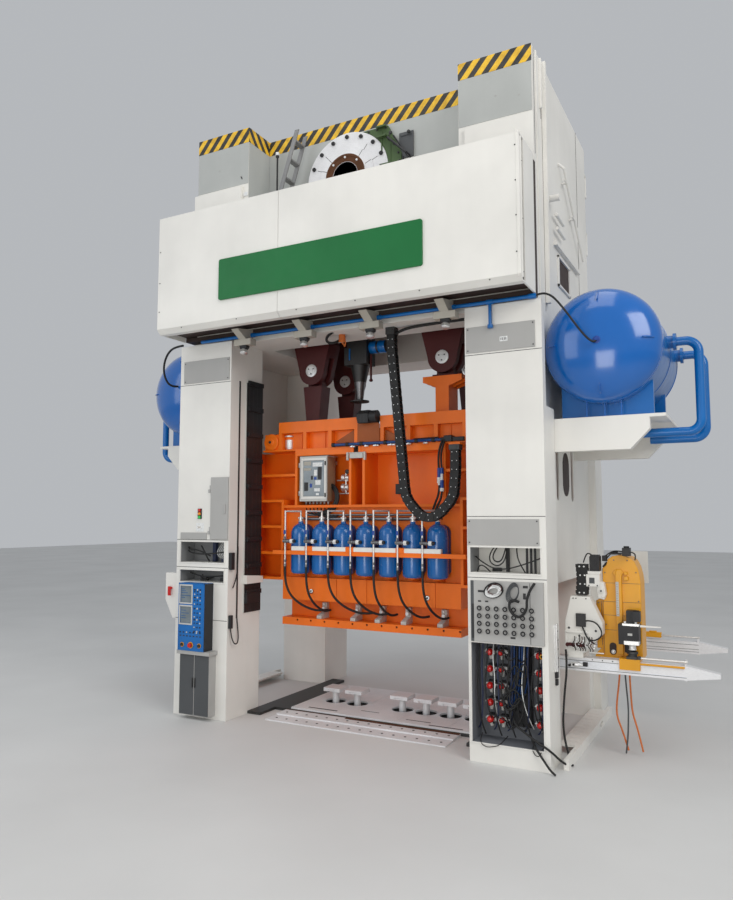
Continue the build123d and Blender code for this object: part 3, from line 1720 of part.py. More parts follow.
# White console in front of the unit, and the plate of the rear unit
console_front_y = -1060.0
console_depth = 150.0
console_outline = (
    (2946.0, 1950.0),
    (3174.0, 1950.0),
    (3321.0, 1640.0),
    (3321.0, 1500.0),
    (3110.0, 1270.0),
    (2870.0, 1270.0),
    (2870.0, 1640.0),
)
console_base = console_outline[-2][1]
rear_plate_x = (3363.0, 3609.0)
rear_plate_z = (1982.0, 2436.0)
rear_plate = 20.0
rear_post_x = (3440.0, 3530.0)
console_foot_x = (2900.0, 3080.0)

with BuildPart() as transfer_console:
    with BuildSketch(Plane.XZ.offset(-console_front_y)):
        with BuildLine():
            Polyline(*console_outline, close=True)
        make_face()
    extrude(amount=-console_depth)
    block(
        (console_foot_x[0], console_front_y, rail_top),
        (console_foot_x[1], console_front_y + console_depth, console_base),
    )
    block(
        (rear_plate_x[0], rail_offset, rear_plate_z[0]),
        (rear_plate_x[1], rail_offset + rear_plate, rear_plate_z[1]),
    )
    block(
        (rear_post_x[0], rail_offset - rear_plate, rail_top),
        (rear_post_x[1], rail_offset + rear_plate, rear_plate_z[0]),
    )
transfer_console.part.label = "transfer_console"
export_step(transfer_console.part, "parts/transfer_console.step")
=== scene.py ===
import json
import math

import bpy
import bmesh
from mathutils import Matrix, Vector


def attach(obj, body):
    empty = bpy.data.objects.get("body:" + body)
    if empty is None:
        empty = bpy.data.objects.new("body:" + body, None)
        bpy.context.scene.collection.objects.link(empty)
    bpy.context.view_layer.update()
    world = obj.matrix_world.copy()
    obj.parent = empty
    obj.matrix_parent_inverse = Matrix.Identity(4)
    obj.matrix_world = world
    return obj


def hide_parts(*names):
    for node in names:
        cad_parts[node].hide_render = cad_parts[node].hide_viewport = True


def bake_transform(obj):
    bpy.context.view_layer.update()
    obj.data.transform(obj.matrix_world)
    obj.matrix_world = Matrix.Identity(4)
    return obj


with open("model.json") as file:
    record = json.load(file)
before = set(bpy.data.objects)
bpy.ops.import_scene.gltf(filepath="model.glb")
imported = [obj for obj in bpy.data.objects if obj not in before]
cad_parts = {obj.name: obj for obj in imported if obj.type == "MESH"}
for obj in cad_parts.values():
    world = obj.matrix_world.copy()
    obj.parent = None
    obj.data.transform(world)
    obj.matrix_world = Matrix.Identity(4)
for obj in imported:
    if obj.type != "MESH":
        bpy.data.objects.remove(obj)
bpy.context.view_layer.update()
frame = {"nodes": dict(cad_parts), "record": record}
scene = bpy.context.scene

# Camera at the photograph's place: metres, then degrees up and to the left
camera_place = (5.1098, -10.5919, 2.9205)
camera_up = 5.201
camera_left = 27.908
camera_data = bpy.data.cameras.new("camera")
camera_data.sensor_fit = "AUTO"
camera_data.sensor_width = 36.0
camera_data.lens = 29.83
camera_data.dof.use_dof = False
camera = bpy.data.objects.new("camera", camera_data)
camera.location = camera_place
camera.rotation_euler = (math.radians(90 + camera_up), 0.0, math.radians(camera_left))
scene.collection.objects.link(camera)
scene.camera = camera
scene.render.resolution_x = 733
scene.render.resolution_y = 900
scene.view_settings.view_transform = "Standard"


# Materials
class Graph:
    """Small helper round one material's node tree."""

    def __init__(self, name):
        self.material = bpy.data.materials.new(name)
        self.material.use_nodes = True
        self.tree = self.material.node_tree
        self.shader = self.tree.nodes["Principled BSDF"]
        self.coords = self.node("ShaderNodeTexCoord").outputs["Object"]

    def node(self, kind, **values):
        made = self.tree.nodes.new(kind)
        for key, value in values.items():
            setattr(made, key, value)
        return made

    def link(self, out, into):
        self.tree.links.new(out, into)

    def noise(self, scale, detail=3.0, stretch=None):
        made = self.node("ShaderNodeTexNoise")
        made.inputs["Scale"].default_value = scale
        made.inputs["Detail"].default_value = detail
        source = self.coords
        if stretch:
            mapping = self.node("ShaderNodeMapping")
            mapping.inputs["Scale"].default_value = stretch
            self.link(source, mapping.inputs["Vector"])
            source = mapping.outputs["Vector"]
        self.link(source, made.inputs["Vector"])
        return made.outputs["Fac"]

    def ramp(self, factor, stops):
        made = self.node("ShaderNodeValToRGB")
        ramp = made.color_ramp
        while len(ramp.elements) < len(stops):
            ramp.elements.new(0.5)
        for element, (place, colour) in zip(ramp.elements, stops):
            element.position = place
            element.color = (*colour, 1.0)
        self.link(factor, made.inputs["Fac"])
        return made.outputs["Color"]

    def mix(self, factor, a, b):
        made = self.node("ShaderNodeMix", data_type="RGBA")
        for value, index in ((factor, 0), (a, 6), (b, 7)):
            if hasattr(value, "is_linked"):
                self.link(value, made.inputs[index])
            elif index == 0:
                made.inputs[index].default_value = value
            else:
                made.inputs[index].default_value = (*value, 1.0)
        return made.outputs[2]

    def level(self, factor, low, high):
        made = self.node("ShaderNodeMapRange")
        made.inputs["To Min"].default_value = low
        made.inputs["To Max"].default_value = high
        self.link(factor, made.inputs["Value"])
        return made.outputs["Result"]

    def bump(self, height, strength, distance=0.002, edge=0.0):
        made = self.node("ShaderNodeBump")
        made.inputs["Strength"].default_value = strength
        made.inputs["Distance"].default_value = distance
        self.link(height, made.inputs["Height"])
        if edge:
            soft = self.node("ShaderNodeBevel", samples=4)
            soft.inputs["Radius"].default_value = edge
            self.link(soft.outputs["Normal"], made.inputs["Normal"])
        self.link(made.outputs["Normal"], self.shader.inputs["Normal"])


def tint(colour, factor):
    return tuple(max(0.0, min(1.0, part * factor)) for part in colour)


def paint(name, colour, rough=0.42, dirt=0.12, edge=0.006, coat=0.0):
    """Sprayed paint: faint cloudiness, thin vertical run marks and a soft orange peel."""
    g = Graph(name)
    clouds = g.noise(0.9, 5.0)
    runs = g.noise(3.0, 4.0, stretch=(2.2, 2.2, 0.22))
    base = g.ramp(clouds, [(0.3, tint(colour, 1 - dirt)), (0.62, tint(colour, 1.04))])
    grime = g.level(runs, 0.0, dirt * 1.6)
    g.link(g.mix(grime, base, tint(colour, 0.55)), g.shader.inputs["Base Color"])
    g.link(g.level(g.noise(7.0, 3.0), rough - 0.08, rough + 0.12), g.shader.inputs["Roughness"])
    g.shader.inputs["Coat Weight"].default_value = coat
    g.shader.inputs["Coat Roughness"].default_value = 0.12
    g.shader.inputs["Specular IOR Level"].default_value = 0.35
    g.bump(g.noise(160.0, 2.0), 0.12, 0.0006, edge)
    return g.material


def metal(name, colour, rough=0.3, stretch=(1.0, 14.0, 14.0), dirt=0.25, edge=0.003, bare=1.0):
    """Machined or drawn metal with fine marks along one direction."""
    g = Graph(name)
    marks = g.noise(34.0, 5.0, stretch=stretch)
    stains = g.noise(2.3, 5.0)
    base = g.ramp(marks, [(0.3, tint(colour, 0.78)), (0.7, tint(colour, 1.12))])
    spots = g.ramp(stains, [(0.44, tint(colour, 1 - dirt)), (0.66, tint(colour, 1.05))])
    g.link(g.mix(0.5, base, spots), g.shader.inputs["Base Color"])
    g.shader.inputs["Metallic"].default_value = bare
    g.link(g.level(stains, rough - 0.08, rough + 0.2), g.shader.inputs["Roughness"])
    g.bump(marks, 0.1, 0.0006, edge)
    return g.material


def plastic(name, colour, rough=0.4, edge=0.002):
    g = Graph(name)
    speck = g.noise(60.0, 3.0)
    g.link(
        g.ramp(speck, [(0.3, tint(colour, 0.82)), (0.7, tint(colour, 1.15))]),
        g.shader.inputs["Base Color"],
    )
    g.link(g.level(g.noise(12.0), rough - 0.06, rough + 0.1), g.shader.inputs["Roughness"])
    g.bump(speck, 0.08, 0.0004, edge)
    return g.material


def striped(name, lean):
    """Black and yellow warning stripes across X and Z."""
    g = Graph(name)
    split = g.node("ShaderNodeSeparateXYZ")
    g.link(g.coords, split.inputs["Vector"])
    slant = g.node("ShaderNodeMath", operation="MULTIPLY_ADD")
    slant.inputs[1].default_value = lean
    g.link(split.outputs["X"], slant.inputs[0])
    g.link(split.outputs["Z"], slant.inputs[2])
    add = g.node("ShaderNodeMath", operation="MULTIPLY_ADD")
    add.inputs[1].default_value = lean
    g.link(split.outputs["Y"], add.inputs[0])
    g.link(slant.outputs[0], add.inputs[2])
    scaled = g.node("ShaderNodeMath", operation="MULTIPLY")
    scaled.inputs[1].default_value = 1 / 0.238
    g.link(add.outputs[0], scaled.inputs[0])
    part = g.node("ShaderNodeMath", operation="FRACT")
    g.link(scaled.outputs[0], part.inputs[0])
    step = g.node("ShaderNodeMath", operation="GREATER_THAN")
    step.inputs[1].default_value = 0.5
    g.link(part.outputs[0], step.inputs[0])
    worn = g.noise(9.0, 6.0)
    yellow = g.ramp(worn, [(0.35, (0.62, 0.36, 0.02)), (0.6, (0.85, 0.52, 0.03))])
    black = g.ramp(worn, [(0.4, (0.02, 0.02, 0.02)), (0.75, (0.06, 0.055, 0.05))])
    g.link(g.mix(step.outputs[0], black, yellow), g.shader.inputs["Base Color"])
    g.link(g.level(worn, 0.4, 0.65), g.shader.inputs["Roughness"])
    return g.material


def window_pane(name):
    g = Graph(name)
    smear = g.noise(5.0, 4.0)
    g.link(
        g.ramp(smear, [(0.3, (0.13, 0.16, 0.18)), (0.7, (0.20, 0.24, 0.26))]),
        g.shader.inputs["Base Color"],
    )
    g.link(g.level(smear, 0.05, 0.16), g.shader.inputs["Roughness"])
    g.shader.inputs["Coat Weight"].default_value = 0.6
    return g.material


mats = {
    "white_paint": paint("white_paint", (0.80, 0.785, 0.74), 0.42, 0.07),
    "white_inner": paint("white_inner", (0.62, 0.60, 0.55), 0.5, 0.2),
    "grey_paint": paint("grey_paint", (0.43, 0.425, 0.41), 0.45, 0.1),
    "orange_paint": paint("orange_paint", (0.95, 0.18, 0.006), 0.42, 0.18, coat=0.1),
    "blue_paint": paint("blue_paint", (0.001, 0.14, 0.46), 0.32, 0.14, coat=0.3),
    "maroon_paint": paint("maroon_paint", (0.085, 0.014, 0.014), 0.45, 0.25),
    "yellow_paint": paint("yellow_paint", (0.82, 0.37, 0.008), 0.4, 0.16, coat=0.15),
    "green_paint": paint("green_paint", (0.004, 0.15, 0.035), 0.45, 0.1),
    "dark_green": paint("dark_green", (0.07, 0.12, 0.045), 0.5, 0.2),
    "dark_brown_paint": paint("dark_brown_paint", (0.055, 0.035, 0.03), 0.6, 0.3),
    "lamp_beige": paint("lamp_beige", (0.46, 0.43, 0.37), 0.5, 0.15),
    "black_paint": paint("black_paint", (0.022, 0.022, 0.024), 0.42, 0.2, 0.003),
    "light_grey_paint": paint("light_grey_paint", (0.55, 0.55, 0.52), 0.45, 0.12),
    "machined_steel": metal("machined_steel", (0.80, 0.80, 0.81), 0.42, dirt=0.12, bare=0.25),
    "bright_steel": metal("bright_steel", (0.82, 0.82, 0.81), 0.28, dirt=0.1, bare=0.8),
    "dark_steel": metal("dark_steel", (0.10, 0.10, 0.10), 0.5, dirt=0.4),
    "ladder_metal": metal("ladder_metal", (0.30, 0.30, 0.30), 0.45, bare=0.5),
    "chrome_pipe": metal(
        "chrome_pipe", (0.76, 0.74, 0.71), 0.3, stretch=(1.0, 1.0, 1.0), dirt=0.05, edge=0.0, bare=0.85
    ),
    "brass": metal("brass", (0.70, 0.50, 0.20), 0.3, dirt=0.15, edge=0.001),
    "rust": metal("rust", (0.20, 0.10, 0.06), 0.75, dirt=0.5),
    "dark_glass": window_pane("dark_glass"),
    "black_plastic": plastic("black_plastic", (0.018, 0.018, 0.019), 0.45),
    "rubber": plastic("rubber", (0.007, 0.007, 0.007), 0.6),
    "red_plastic": plastic("red_plastic", (0.55, 0.012, 0.01), 0.22),
    "green_lamp": plastic("green_lamp", (0.03, 0.50, 0.10), 0.25),
    "white_plastic": plastic("white_plastic", (0.76, 0.77, 0.76), 0.35),
    "blue_hose": plastic("blue_hose", (0.008, 0.055, 0.30), 0.35),
    "screen": plastic("screen", (0.02, 0.10, 0.26), 0.12),
    "amber_lamp": plastic("amber_lamp", (0.85, 0.28, 0.02), 0.25),
    "navy_plastic": plastic("navy_plastic", (0.012, 0.02, 0.06), 0.35),
    "cable_orange": plastic("cable_orange", (0.62, 0.16, 0.03), 0.5),
    "alu": metal("alu", (0.80, 0.82, 0.86), 0.4, dirt=0.12, bare=0.35),
    "deep_blue": paint("deep_blue", (0.003, 0.05, 0.20), 0.3, 0.2, coat=0.3),
    "bottle_blue": paint("bottle_blue", (0.001, 0.125, 0.42), 0.22, 0.15, edge=0.0, coat=0.7),
    # Orange darkened to brown: painted shade for the sloping plates sunk between the beams above the slide.
    "slope_shaded_orange": paint("slope_shaded_orange", (0.36, 0.085, 0.012), 0.45, 0.2),
    "tank_blue": paint("tank_blue", (0.001, 0.12, 0.46), 0.16, 0.1, edge=0.0, coat=0.9),
    "tower_grey": paint("tower_grey", (0.44, 0.455, 0.44), 0.45, 0.1),
    "niche_grey": paint("niche_grey", (0.24, 0.245, 0.25), 0.5, 0.15),
    "slate": paint("slate", (0.17, 0.18, 0.20), 0.5, 0.2),
    "pipe_steel": metal("pipe_steel", (0.26, 0.26, 0.27), 0.35, dirt=0.3),
    "cabinet_brown": paint("cabinet_brown", (0.30, 0.19, 0.11), 0.5, 0.2),
    "dark_grey_paint": paint("dark_grey_paint", (0.085, 0.09, 0.095), 0.5, 0.15),
    "stripes_right": striped("stripes_right", -1.19),
    "stripes_left": striped("stripes_left", 1.19),
}
slot_material = {entry["node"]: entry["material_slot"] for entry in frame["record"]["subparts"]}
for node, obj in frame["nodes"].items():
    finish = mats[slot_material[node]]
    if not obj.data.materials:
        obj.data.materials.append(finish)
    for index in range(len(obj.material_slots)):
        obj.material_slots[index].material = finish


# Shapes
class Shape:
    """Vertices and faces of one piece, in metres; sizes are given in millimetres."""

    def __init__(self):
        self.verts = []
        self.faces = []

    def put(self, verts, faces):
        start = len(self.verts)
        self.verts.extend(Vector(v) / 1000 for v in verts)
        self.faces.extend(tuple(start + i for i in face) for face in faces)
        return self

    def box(self, low, high):
        (a, b, c), (d, e, f) = low, high
        verts = [(a, b, c), (d, b, c), (d, e, c), (a, e, c), (a, b, f), (d, b, f), (d, e, f), (a, e, f)]
        return self.put(
            verts,
            [(3, 2, 1, 0), (4, 5, 6, 7), (0, 1, 5, 4), (1, 2, 6, 5), (2, 3, 7, 6), (3, 0, 4, 7)],
        )

    def prism(self, outline, axis, start, end):
        """Outline of pairs in the two other axes, run from start to end along axis."""
        def point(pair, along):
            full = list(pair)
            full.insert("xyz".index(axis), along)
            return full

        count = len(outline)
        verts = [point(p, start) for p in outline] + [point(p, end) for p in outline]
        faces = [tuple(reversed(range(count))), tuple(range(count, 2 * count))]
        faces += [(i, (i + 1) % count, count + (i + 1) % count, count + i) for i in range(count)]
        return self.put(verts, faces)

    def rod(self, start, end, radius, sides=14, end_radius=None):
        start, end = Vector(start), Vector(end)
        end_radius = radius if end_radius is None else end_radius
        turn = (end - start).to_track_quat("Z", "Y")
        verts = []
        for centre, size in ((start, radius), (end, end_radius)):
            for step in range(sides):
                angle = 2 * math.pi * step / sides
                verts.append(centre + turn @ Vector((size * math.cos(angle), size * math.sin(angle), 0)))
        faces = [tuple(reversed(range(sides))), tuple(range(sides, 2 * sides))]
        faces += [(i, (i + 1) % sides, sides + (i + 1) % sides, sides + i) for i in range(sides)]
        return self.put(verts, faces)

    def lathe(self, start, axis, profile, sides=24):
        """Round body: profile holds pairs of distance along the axis and radius."""
        start, axis = Vector(start), Vector(axis).normalized()
        turn = axis.to_track_quat("Z", "Y")
        verts = []
        for along, size in profile:
            for step in range(sides):
                angle = 2 * math.pi * step / sides
                spot = Vector((size * math.cos(angle), size * math.sin(angle), along))
                verts.append(start + turn @ spot)
        faces = [tuple(reversed(range(sides)))]
        rings = len(profile)
        for ring in range(rings - 1):
            base = ring * sides
            faces += [
                (base + i, base + (i + 1) % sides, base + sides + (i + 1) % sides, base + sides + i)
                for i in range(sides)
            ]
        faces.append(tuple(range((rings - 1) * sides, rings * sides)))
        return self.put(verts, faces)

    def bolt(self, place, axis, size=12, washer=True):
        """Hexagon head on a washer."""
        place, axis = Vector(place), Vector(axis).normalized()
        if washer:
            self.rod(place, place + axis * size * 0.25, size * 1.25, 14)
        return self.rod(place + axis * size * 0.25, place + axis * size * 1.1, size, 6)


def make(name, shape, material, body="frame", bevel=2.0, smooth=38):
    mesh = bpy.data.meshes.new(name)
    mesh.from_pydata([tuple(v) for v in shape.verts], [], shape.faces)
    mesh.update()
    tidy = bmesh.new()
    tidy.from_mesh(mesh)
    bmesh.ops.recalc_face_normals(tidy, faces=tidy.faces)
    tidy.to_mesh(mesh)
    tidy.free()
    mesh.polygons.foreach_set("use_smooth", [True] * len(mesh.polygons))
    mesh.set_sharp_from_angle(angle=math.radians(smooth))
    obj = bpy.data.objects.new(name, mesh)
    scene.collection.objects.link(obj)
    obj.data.materials.append(mats[material])
    if bevel:
        soft = obj.modifiers.new("bevel", "BEVEL")
        soft.width = bevel / 1000
        soft.segments = 2
        soft.limit_method = "ANGLE"
        soft.angle_limit = math.radians(40)
    if body:
        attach(obj, body)
    return obj


def hose(name, points, radius, material, body="frame", smooth=True):
    """Bent tube along points in millimetres."""
    curve = bpy.data.curves.new(name, "CURVE")
    curve.dimensions = "3D"
    curve.bevel_depth = radius / 1000
    curve.bevel_resolution = 3
    curve.resolution_u = 10
    curve.use_fill_caps = True
    for line in points if isinstance(points[0][0], (list, tuple)) else [points]:
        spline = curve.splines.new("NURBS" if smooth else "POLY")
        spline.points.add(len(line) - 1)
        for spot, place in zip(spline.points, line):
            spot.co = (*(part / 1000 for part in place), 1.0)
        if smooth:
            spline.order_u = 3
            spline.use_endpoint_u = True
    obj = bpy.data.objects.new(name, curve)
    scene.collection.objects.link(obj)
    obj.data.materials.append(mats[material])
    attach(obj, body)
    return obj


def loop(x, y, z, wide, high, lean=0.0, turn=0.0):
    """Closed ring of wire in front of a panel, tilted a little out of it."""
    line = []
    for step in range(25):
        angle = 2 * math.pi * step / 24 + turn
        along = wide * math.cos(angle) + lean * high * math.sin(angle)
        line.append((x + along, y - 14 * math.sin(angle * 2 + turn), z + high * math.sin(angle)))
    return line


def boxes(name, material, corners, body="frame", bevel=2.0):
    """Piece made of boxes: each row holds the low corner and then the high corner."""
    shape = Shape()
    for row in corners:
        shape.box(row[:3], row[3:])
    return make(name, shape, material, body, bevel)


def rods(name, material, ends, body="frame", bevel=2.0):
    """Piece made of rods: each row holds both ends, the radius and the number of sides."""
    shape = Shape()
    for row in ends:
        shape.rod(row[:3], row[3:6], row[6], row[7])
    return make(name, shape, material, body, bevel)


def border(shape, low_x, high_x, low_z, high_z, width, front, back):
    """Four strips round an opening."""
    shape.box((low_x - width, front, low_z - width), (high_x + width, back, low_z))
    shape.box((low_x - width, front, high_z), (high_x + width, back, high_z + width))
    shape.box((low_x - width, front, low_z), (low_x, back, high_z))
    shape.box((high_x, front, low_z), (high_x + width, back, high_z))


def rounded_slot(across, up, wide, high, half):
    """Outline of a slot: its round ends are shifted up and down by half."""
    outline = []
    for step in range(16):
        angle = math.radians(22.5 * step + 11.25)
        shift = half if math.sin(angle) > 0 else -half
        outline.append((across + wide * math.cos(angle), up + shift + high * math.sin(angle)))
    return outline


# Floor and light
floor_mesh = bpy.data.meshes.new("floor")
reach = 60.0
floor_mesh.from_pydata(
    [(-reach, -reach, 0), (reach, -reach, 0), (reach, reach, 0), (-reach, reach, 0)],
    [],
    [(0, 1, 2, 3)],
)
floor = bpy.data.objects.new("floor", floor_mesh)
scene.collection.objects.link(floor)
floor_graph = Graph("floor_pale")
floor_graph.link(
    floor_graph.ramp(floor_graph.noise(0.4, 4.0), [(0.3, (0.60, 0.60, 0.59)), (0.7, (0.66, 0.66, 0.65))]),
    floor_graph.shader.inputs["Base Color"],
)
floor_graph.shader.inputs["Roughness"].default_value = 0.6
floor.data.materials.append(floor_graph.material)

world = bpy.data.worlds.new("studio")
scene.world = world
world.use_nodes = True
world.node_tree.nodes["Background"].inputs["Color"].default_value = (0.86, 0.89, 0.93, 1)
world.node_tree.nodes["Background"].inputs["Strength"].default_value = 0.54


def area_light(name, place, aim, size, power, colour=(1.0, 0.98, 0.95)):
    data = bpy.data.lights.new(name, "AREA")
    data.shape = "SQUARE"
    data.size = size
    data.energy = power
    data.color = colour
    lamp = bpy.data.objects.new(name, data)
    lamp.location = place
    lamp.rotation_euler = (Vector(aim) - Vector(place)).to_track_quat("-Z", "Y").to_euler()
    scene.collection.objects.link(lamp)


area_light("key", (13.0, -9.0, 12.0), (1.0, -1.0, 4.5), 8.0, 980)
area_light("fill", (-9.0, -13.0, 8.0), (0.0, -1.0, 3.5), 9.0, 380, (0.93, 0.96, 1.0))
area_light("front", (3.0, -15.0, 2.4), (0.2, -1.0, 3.2), 5.0, 330, (1.0, 0.97, 0.93))
area_light("top", (0.0, -3.0, 16.0), (0.0, 0.0, 5.0), 10.0, 520)

# Sizes shared with the press, in millimetres
outer_x = 2733.0
tower_low = 1732.0
drive_x = -252.0
drive_z = 8073.0
press_top = 9000
stripe_base = 8768
casing_y = -1780
panel_y = -1980
chain_y = -1330
bottle_y = -1000
bottle_base = 2085
bottle_pitch = 373
pipe_offset = 140
outlet_y = -1210
valve_y = -1226
manifold_y = -885
gauge_y = -1842
gauge_left = 2022
gauge_low = 1560
gauge_pitch = 107
gauge_rise = 91
regulator_rows = range(480, 1281, 200)
column_y = -850
rail_y = -1010
tank_x = 3455
tank_z = 5024
tank_radius = 703
tank_length = 1640
pin_x = 1110
pin_z = 5240
unit_x = -460
unit_y = -300
unit_z = 5600

# Crown: warning stripes along the top edges
boxes("stripes_front", "stripes_right", [
    (tower_low, -1592, stripe_base, outer_x, -1588, press_top),
    (-outer_x, -1592, stripe_base, -tower_low, -1588, press_top),
    (-tower_low, -1042, stripe_base, tower_low, -1038, press_top),
], bevel=0)
boxes(
    "stripes_side",
    "stripes_left",
    [(-tower_low, -1588, stripe_base, -tower_low + 4, -1042, press_top)],
    bevel=0,
)

# Drive flange: cap screws, joint lines and the ring of the hub
screws = Shape()
for step in range(16):
    angle = math.radians(22.5 * step)
    place = Vector((drive_x + 630 * math.cos(angle), -1098, drive_z + 630 * math.sin(angle)))
    screws.rod(place, place + Vector((0, -22, 0)), 31, 16)
    screws.rod(place + Vector((0, -22, 0)), place + Vector((0, -26, 0)), 15, 6)
make("flange_screws", screws, "black_paint", bevel=2)
lines = Shape()
for turn in (22, 52, 133, 158, 205, 250, 292, 338):
    angle = math.radians(turn)
    along = Vector((math.cos(angle), 0, math.sin(angle)))
    across = Vector((-along.z, 0, along.x)) * 4
    for low, high, y in ((345, 455, -1124.5), (462, 560, -1099.5)):
        a = Vector((drive_x, y, drive_z)) + along * low
        b = Vector((drive_x, y, drive_z)) + along * high
        lines.put([a - across, b - across, b + across, a + across], [(0, 1, 2, 3)])
make("flange_lines", lines, "dark_steel", bevel=0)
ring = Shape()
ring.lathe((drive_x, -1158, drive_z), (0, -1, 0), [
    (0, 212), (0, 335), (5, 338), (9, 330), (9, 300), (3, 296), (3, 225), (0, 212),
], 64)
make("hub_ring", ring, "rust", "drive_hub", bevel=0)

# Guard: bolts and ribs on its face, the dark plate beside it and two crossed braces
boxes("guard_ribs", "dark_green", [
    (330, -1108, 8300, 350, -1098, 8640), (470, -1108, 8110, 490, -1098, 8600),
    (300, -1104, 8130, 640, -1098, 8150),
], bevel=1.5)
bolts = Shape()
for x, z in (
    (120, 8690), (260, 8690), (410, 8690), (470, 8560), (540, 8410), (610, 8260), (630, 8130), (480, 8125),
    (330, 8125),
):
    bolts.bolt((x, -1098, z), (0, -1, 0), 14)
make("guard_bolts", bolts, "dark_steel", bevel=1)
boxes("guard_side_plate", "dark_grey_paint", [
    (612, -1076, 8165, 842, -1056, 8560), (640, -1086, 8500, 820, -1076, 8530),
], bevel=4)
rods("guard_arms", "black_paint", [
    (470, -1170, 8490, 770, -1170, 8190, 17, 12), (555, -1150, 8510, 800, -1150, 8120, 13, 12),
    (470, -1170, 8490, 470, -1098, 8490, 20, 12), (770, -1170, 8190, 770, -1076, 8190, 20, 12),
    (700, -1120, 8040, 700, -1120, 8165, 12, 10), (815, -1120, 8010, 815, -1120, 8165, 12, 10),
])
knobs = Shape().lathe((519, -1150, 8553), (0, -1, 0), [(0, 12), (14, 26), (32, 26), (38, 14)], 16)
knobs.lathe((780, -1086, 8533), (0, -1, 0), [(0, 12), (14, 26), (32, 26), (38, 14)], 16)
make("guard_knobs", knobs, "black_plastic")

# Lamp post beside the ladder
rods("lamp_post", "black_paint", [
    (-1395, -1300, 7300, -1395, -1300, 8560, 14, 10), (-1395, -1300, 8560, -1395, -1300, 8590, 26, 12),
])
rods("lamp_post_glass", "white_plastic", [(-1395, -1300, 8590, -1395, -1300, 8640, 30, 14)], bevel=6)

# Valve with a lever on the left tower's ledge
valve = Shape().box((-1872, -1600, 7900), (-1740, -1480, 7960))
valve.rod((-1805, -1540, 7960), (-1805, -1540, 8050), 34, 16)
valve.rod((-1805, -1540, 8050), (-1805, -1540, 8064), 48, 16)
valve.rod((-1860, -1560, 8010), (-1745, -1560, 8010), 17, 12)
make("ledge_valve", valve, "bright_steel")
rods("ledge_lever", "black_plastic", [
    (-1805, -1540, 8075, -1872, -1600, 8230, 9, 10), (-1805, -1540, 8060, -1760, -1530, 8120, 11, 10),
])

# Crown right side: seams, hatch, rails, hoops and plugs
side = Shape()
for y, low, high in ((-1128, 5590, 9000), (-1500, 7560, 8990), (-1180, 8180, 8960), (960, 5600, 9000)):
    side.box((outer_x, y - 5, low), (outer_x + 3, y + 5, high))
for y, z, length in ((-1020, 7000, 700), (-840, 6130, 640)):
    side.box((outer_x, y, z), (outer_x + 3, y + 6, z + length))
make("crown_seams", side, "dark_brown_paint", bevel=0)
boxes("crown_edge_strips", "white_paint", [
    (outer_x, -1420, 5590, outer_x + 14, -1375, 9000), (outer_x, -1240, 8300, outer_x + 30, -1200, 8990),
])
hatch = Shape()
frame_low, frame_high = (-448, 6122), (250, 6560)
hatch.box((outer_x, frame_low[0], frame_low[1]), (outer_x + 26, frame_high[0], frame_low[1] + 30))
hatch.box((outer_x, frame_low[0], frame_high[1] - 30), (outer_x + 26, frame_high[0], frame_high[1]))
hatch.box((outer_x, frame_low[0], frame_low[1]), (outer_x + 26, frame_low[0] + 30, frame_high[1]))
hatch.box((outer_x, frame_high[0] - 30, frame_low[1]), (outer_x + 26, frame_high[0], frame_high[1]))
make("hatch_frame", hatch, "white_paint")
boxes("hatch_dark", "dark_brown_paint", [(outer_x, -418, 6152, outer_x + 4, 220, 6530)], bevel=0)
rails = Shape()
for y, z in ((-700, 7040), (-660, 6860)):
    rails.rod((outer_x + 60, y, z), (outer_x + 60, y + 420, z - 12), 24, 12)
rails.rod((outer_x + 70, -200, 7900), (outer_x + 70, 980, 6900), 20, 12)
rails.rod((outer_x + 70, -200, 7900), (outer_x, -260, 7960), 20, 12)
for t in (0.12, 0.5):
    y, z = -200 + 1180 * t, 7900 - 1000 * t
    rails.rod((outer_x, y, z - 40), (outer_x + 84, y, z - 40), 15, 10)
    rails.rod((outer_x + 70, y - 150, z - 46), (outer_x + 70, y + 110, z - 40), 12, 10)
make("side_rails", rails, "white_paint")
hoop = Shape()
for z, reach in ((8700, 240), (7700, 220)):
    hoop.rod((outer_x - 40, 1613, z), (outer_x - 40, 1613 + reach, z - 60), 16, 10)
    hoop.rod((outer_x - 40, 1613 + reach, z - 60), (outer_x - 40, 1613 + reach, z - 420), 16, 10)
    hoop.rod((outer_x - 40, 1613 + reach, z - 420), (outer_x - 40, 1613, z - 440), 16, 10)
make("hoops", hoop, "white_paint")
spots = Shape()
for y, z in ((-880, 8060), (300, 7960), (-1360, 8300), (-1360, 6900)):
    spots.rod((outer_x, y, z), (outer_x + 6, y, z), 16, 12)
make("side_plugs", spots, "dark_steel")
dots = Shape()
for x, z in ((2250, 8420), (2560, 8350), (-2300, 8420)):
    dots.rod((x, -1588, z), (x, -1592, z), 13, 12)
make("tower_plugs", dots, "grey_paint", bevel=0)

# Fascia: screws and the blue air pipe behind it
heads = Shape()
for x, z in (
    (2727, 7270), (2727, 6841), (2728, 6420), (2728, 5985), (2399, 5700), (1500, 5700), (600, 5700),
    (-2741, 6422), (-2741, 5982), (-2741, 6900), (-300, 5700), (-1300, 5700), (-2300, 5700),
):
    heads.bolt((x, -2391, z), (0, -1, 0), 7)
for z in (5760, 6400, 7100):
    heads.bolt((2777, -2303, z), (1, 0, 0), 7)
make("fascia_screws", heads, "dark_steel", bevel=0.8)
hose("air_line", [(-2406, -1815, 5608), (2790, -1815, 5608)], 24, "blue_paint", smooth=False)
hose("air_line_drop", [(2205, -1815, 5600), (2205, -1815, 5290)], 22, "blue_paint", smooth=False)
joints = Shape()
for x in (-1450, -420, 640, 1700, 2205, 2740):
    joints.rod((x - 45, -1815, 5608), (x + 45, -1815, 5608), 33, 14)
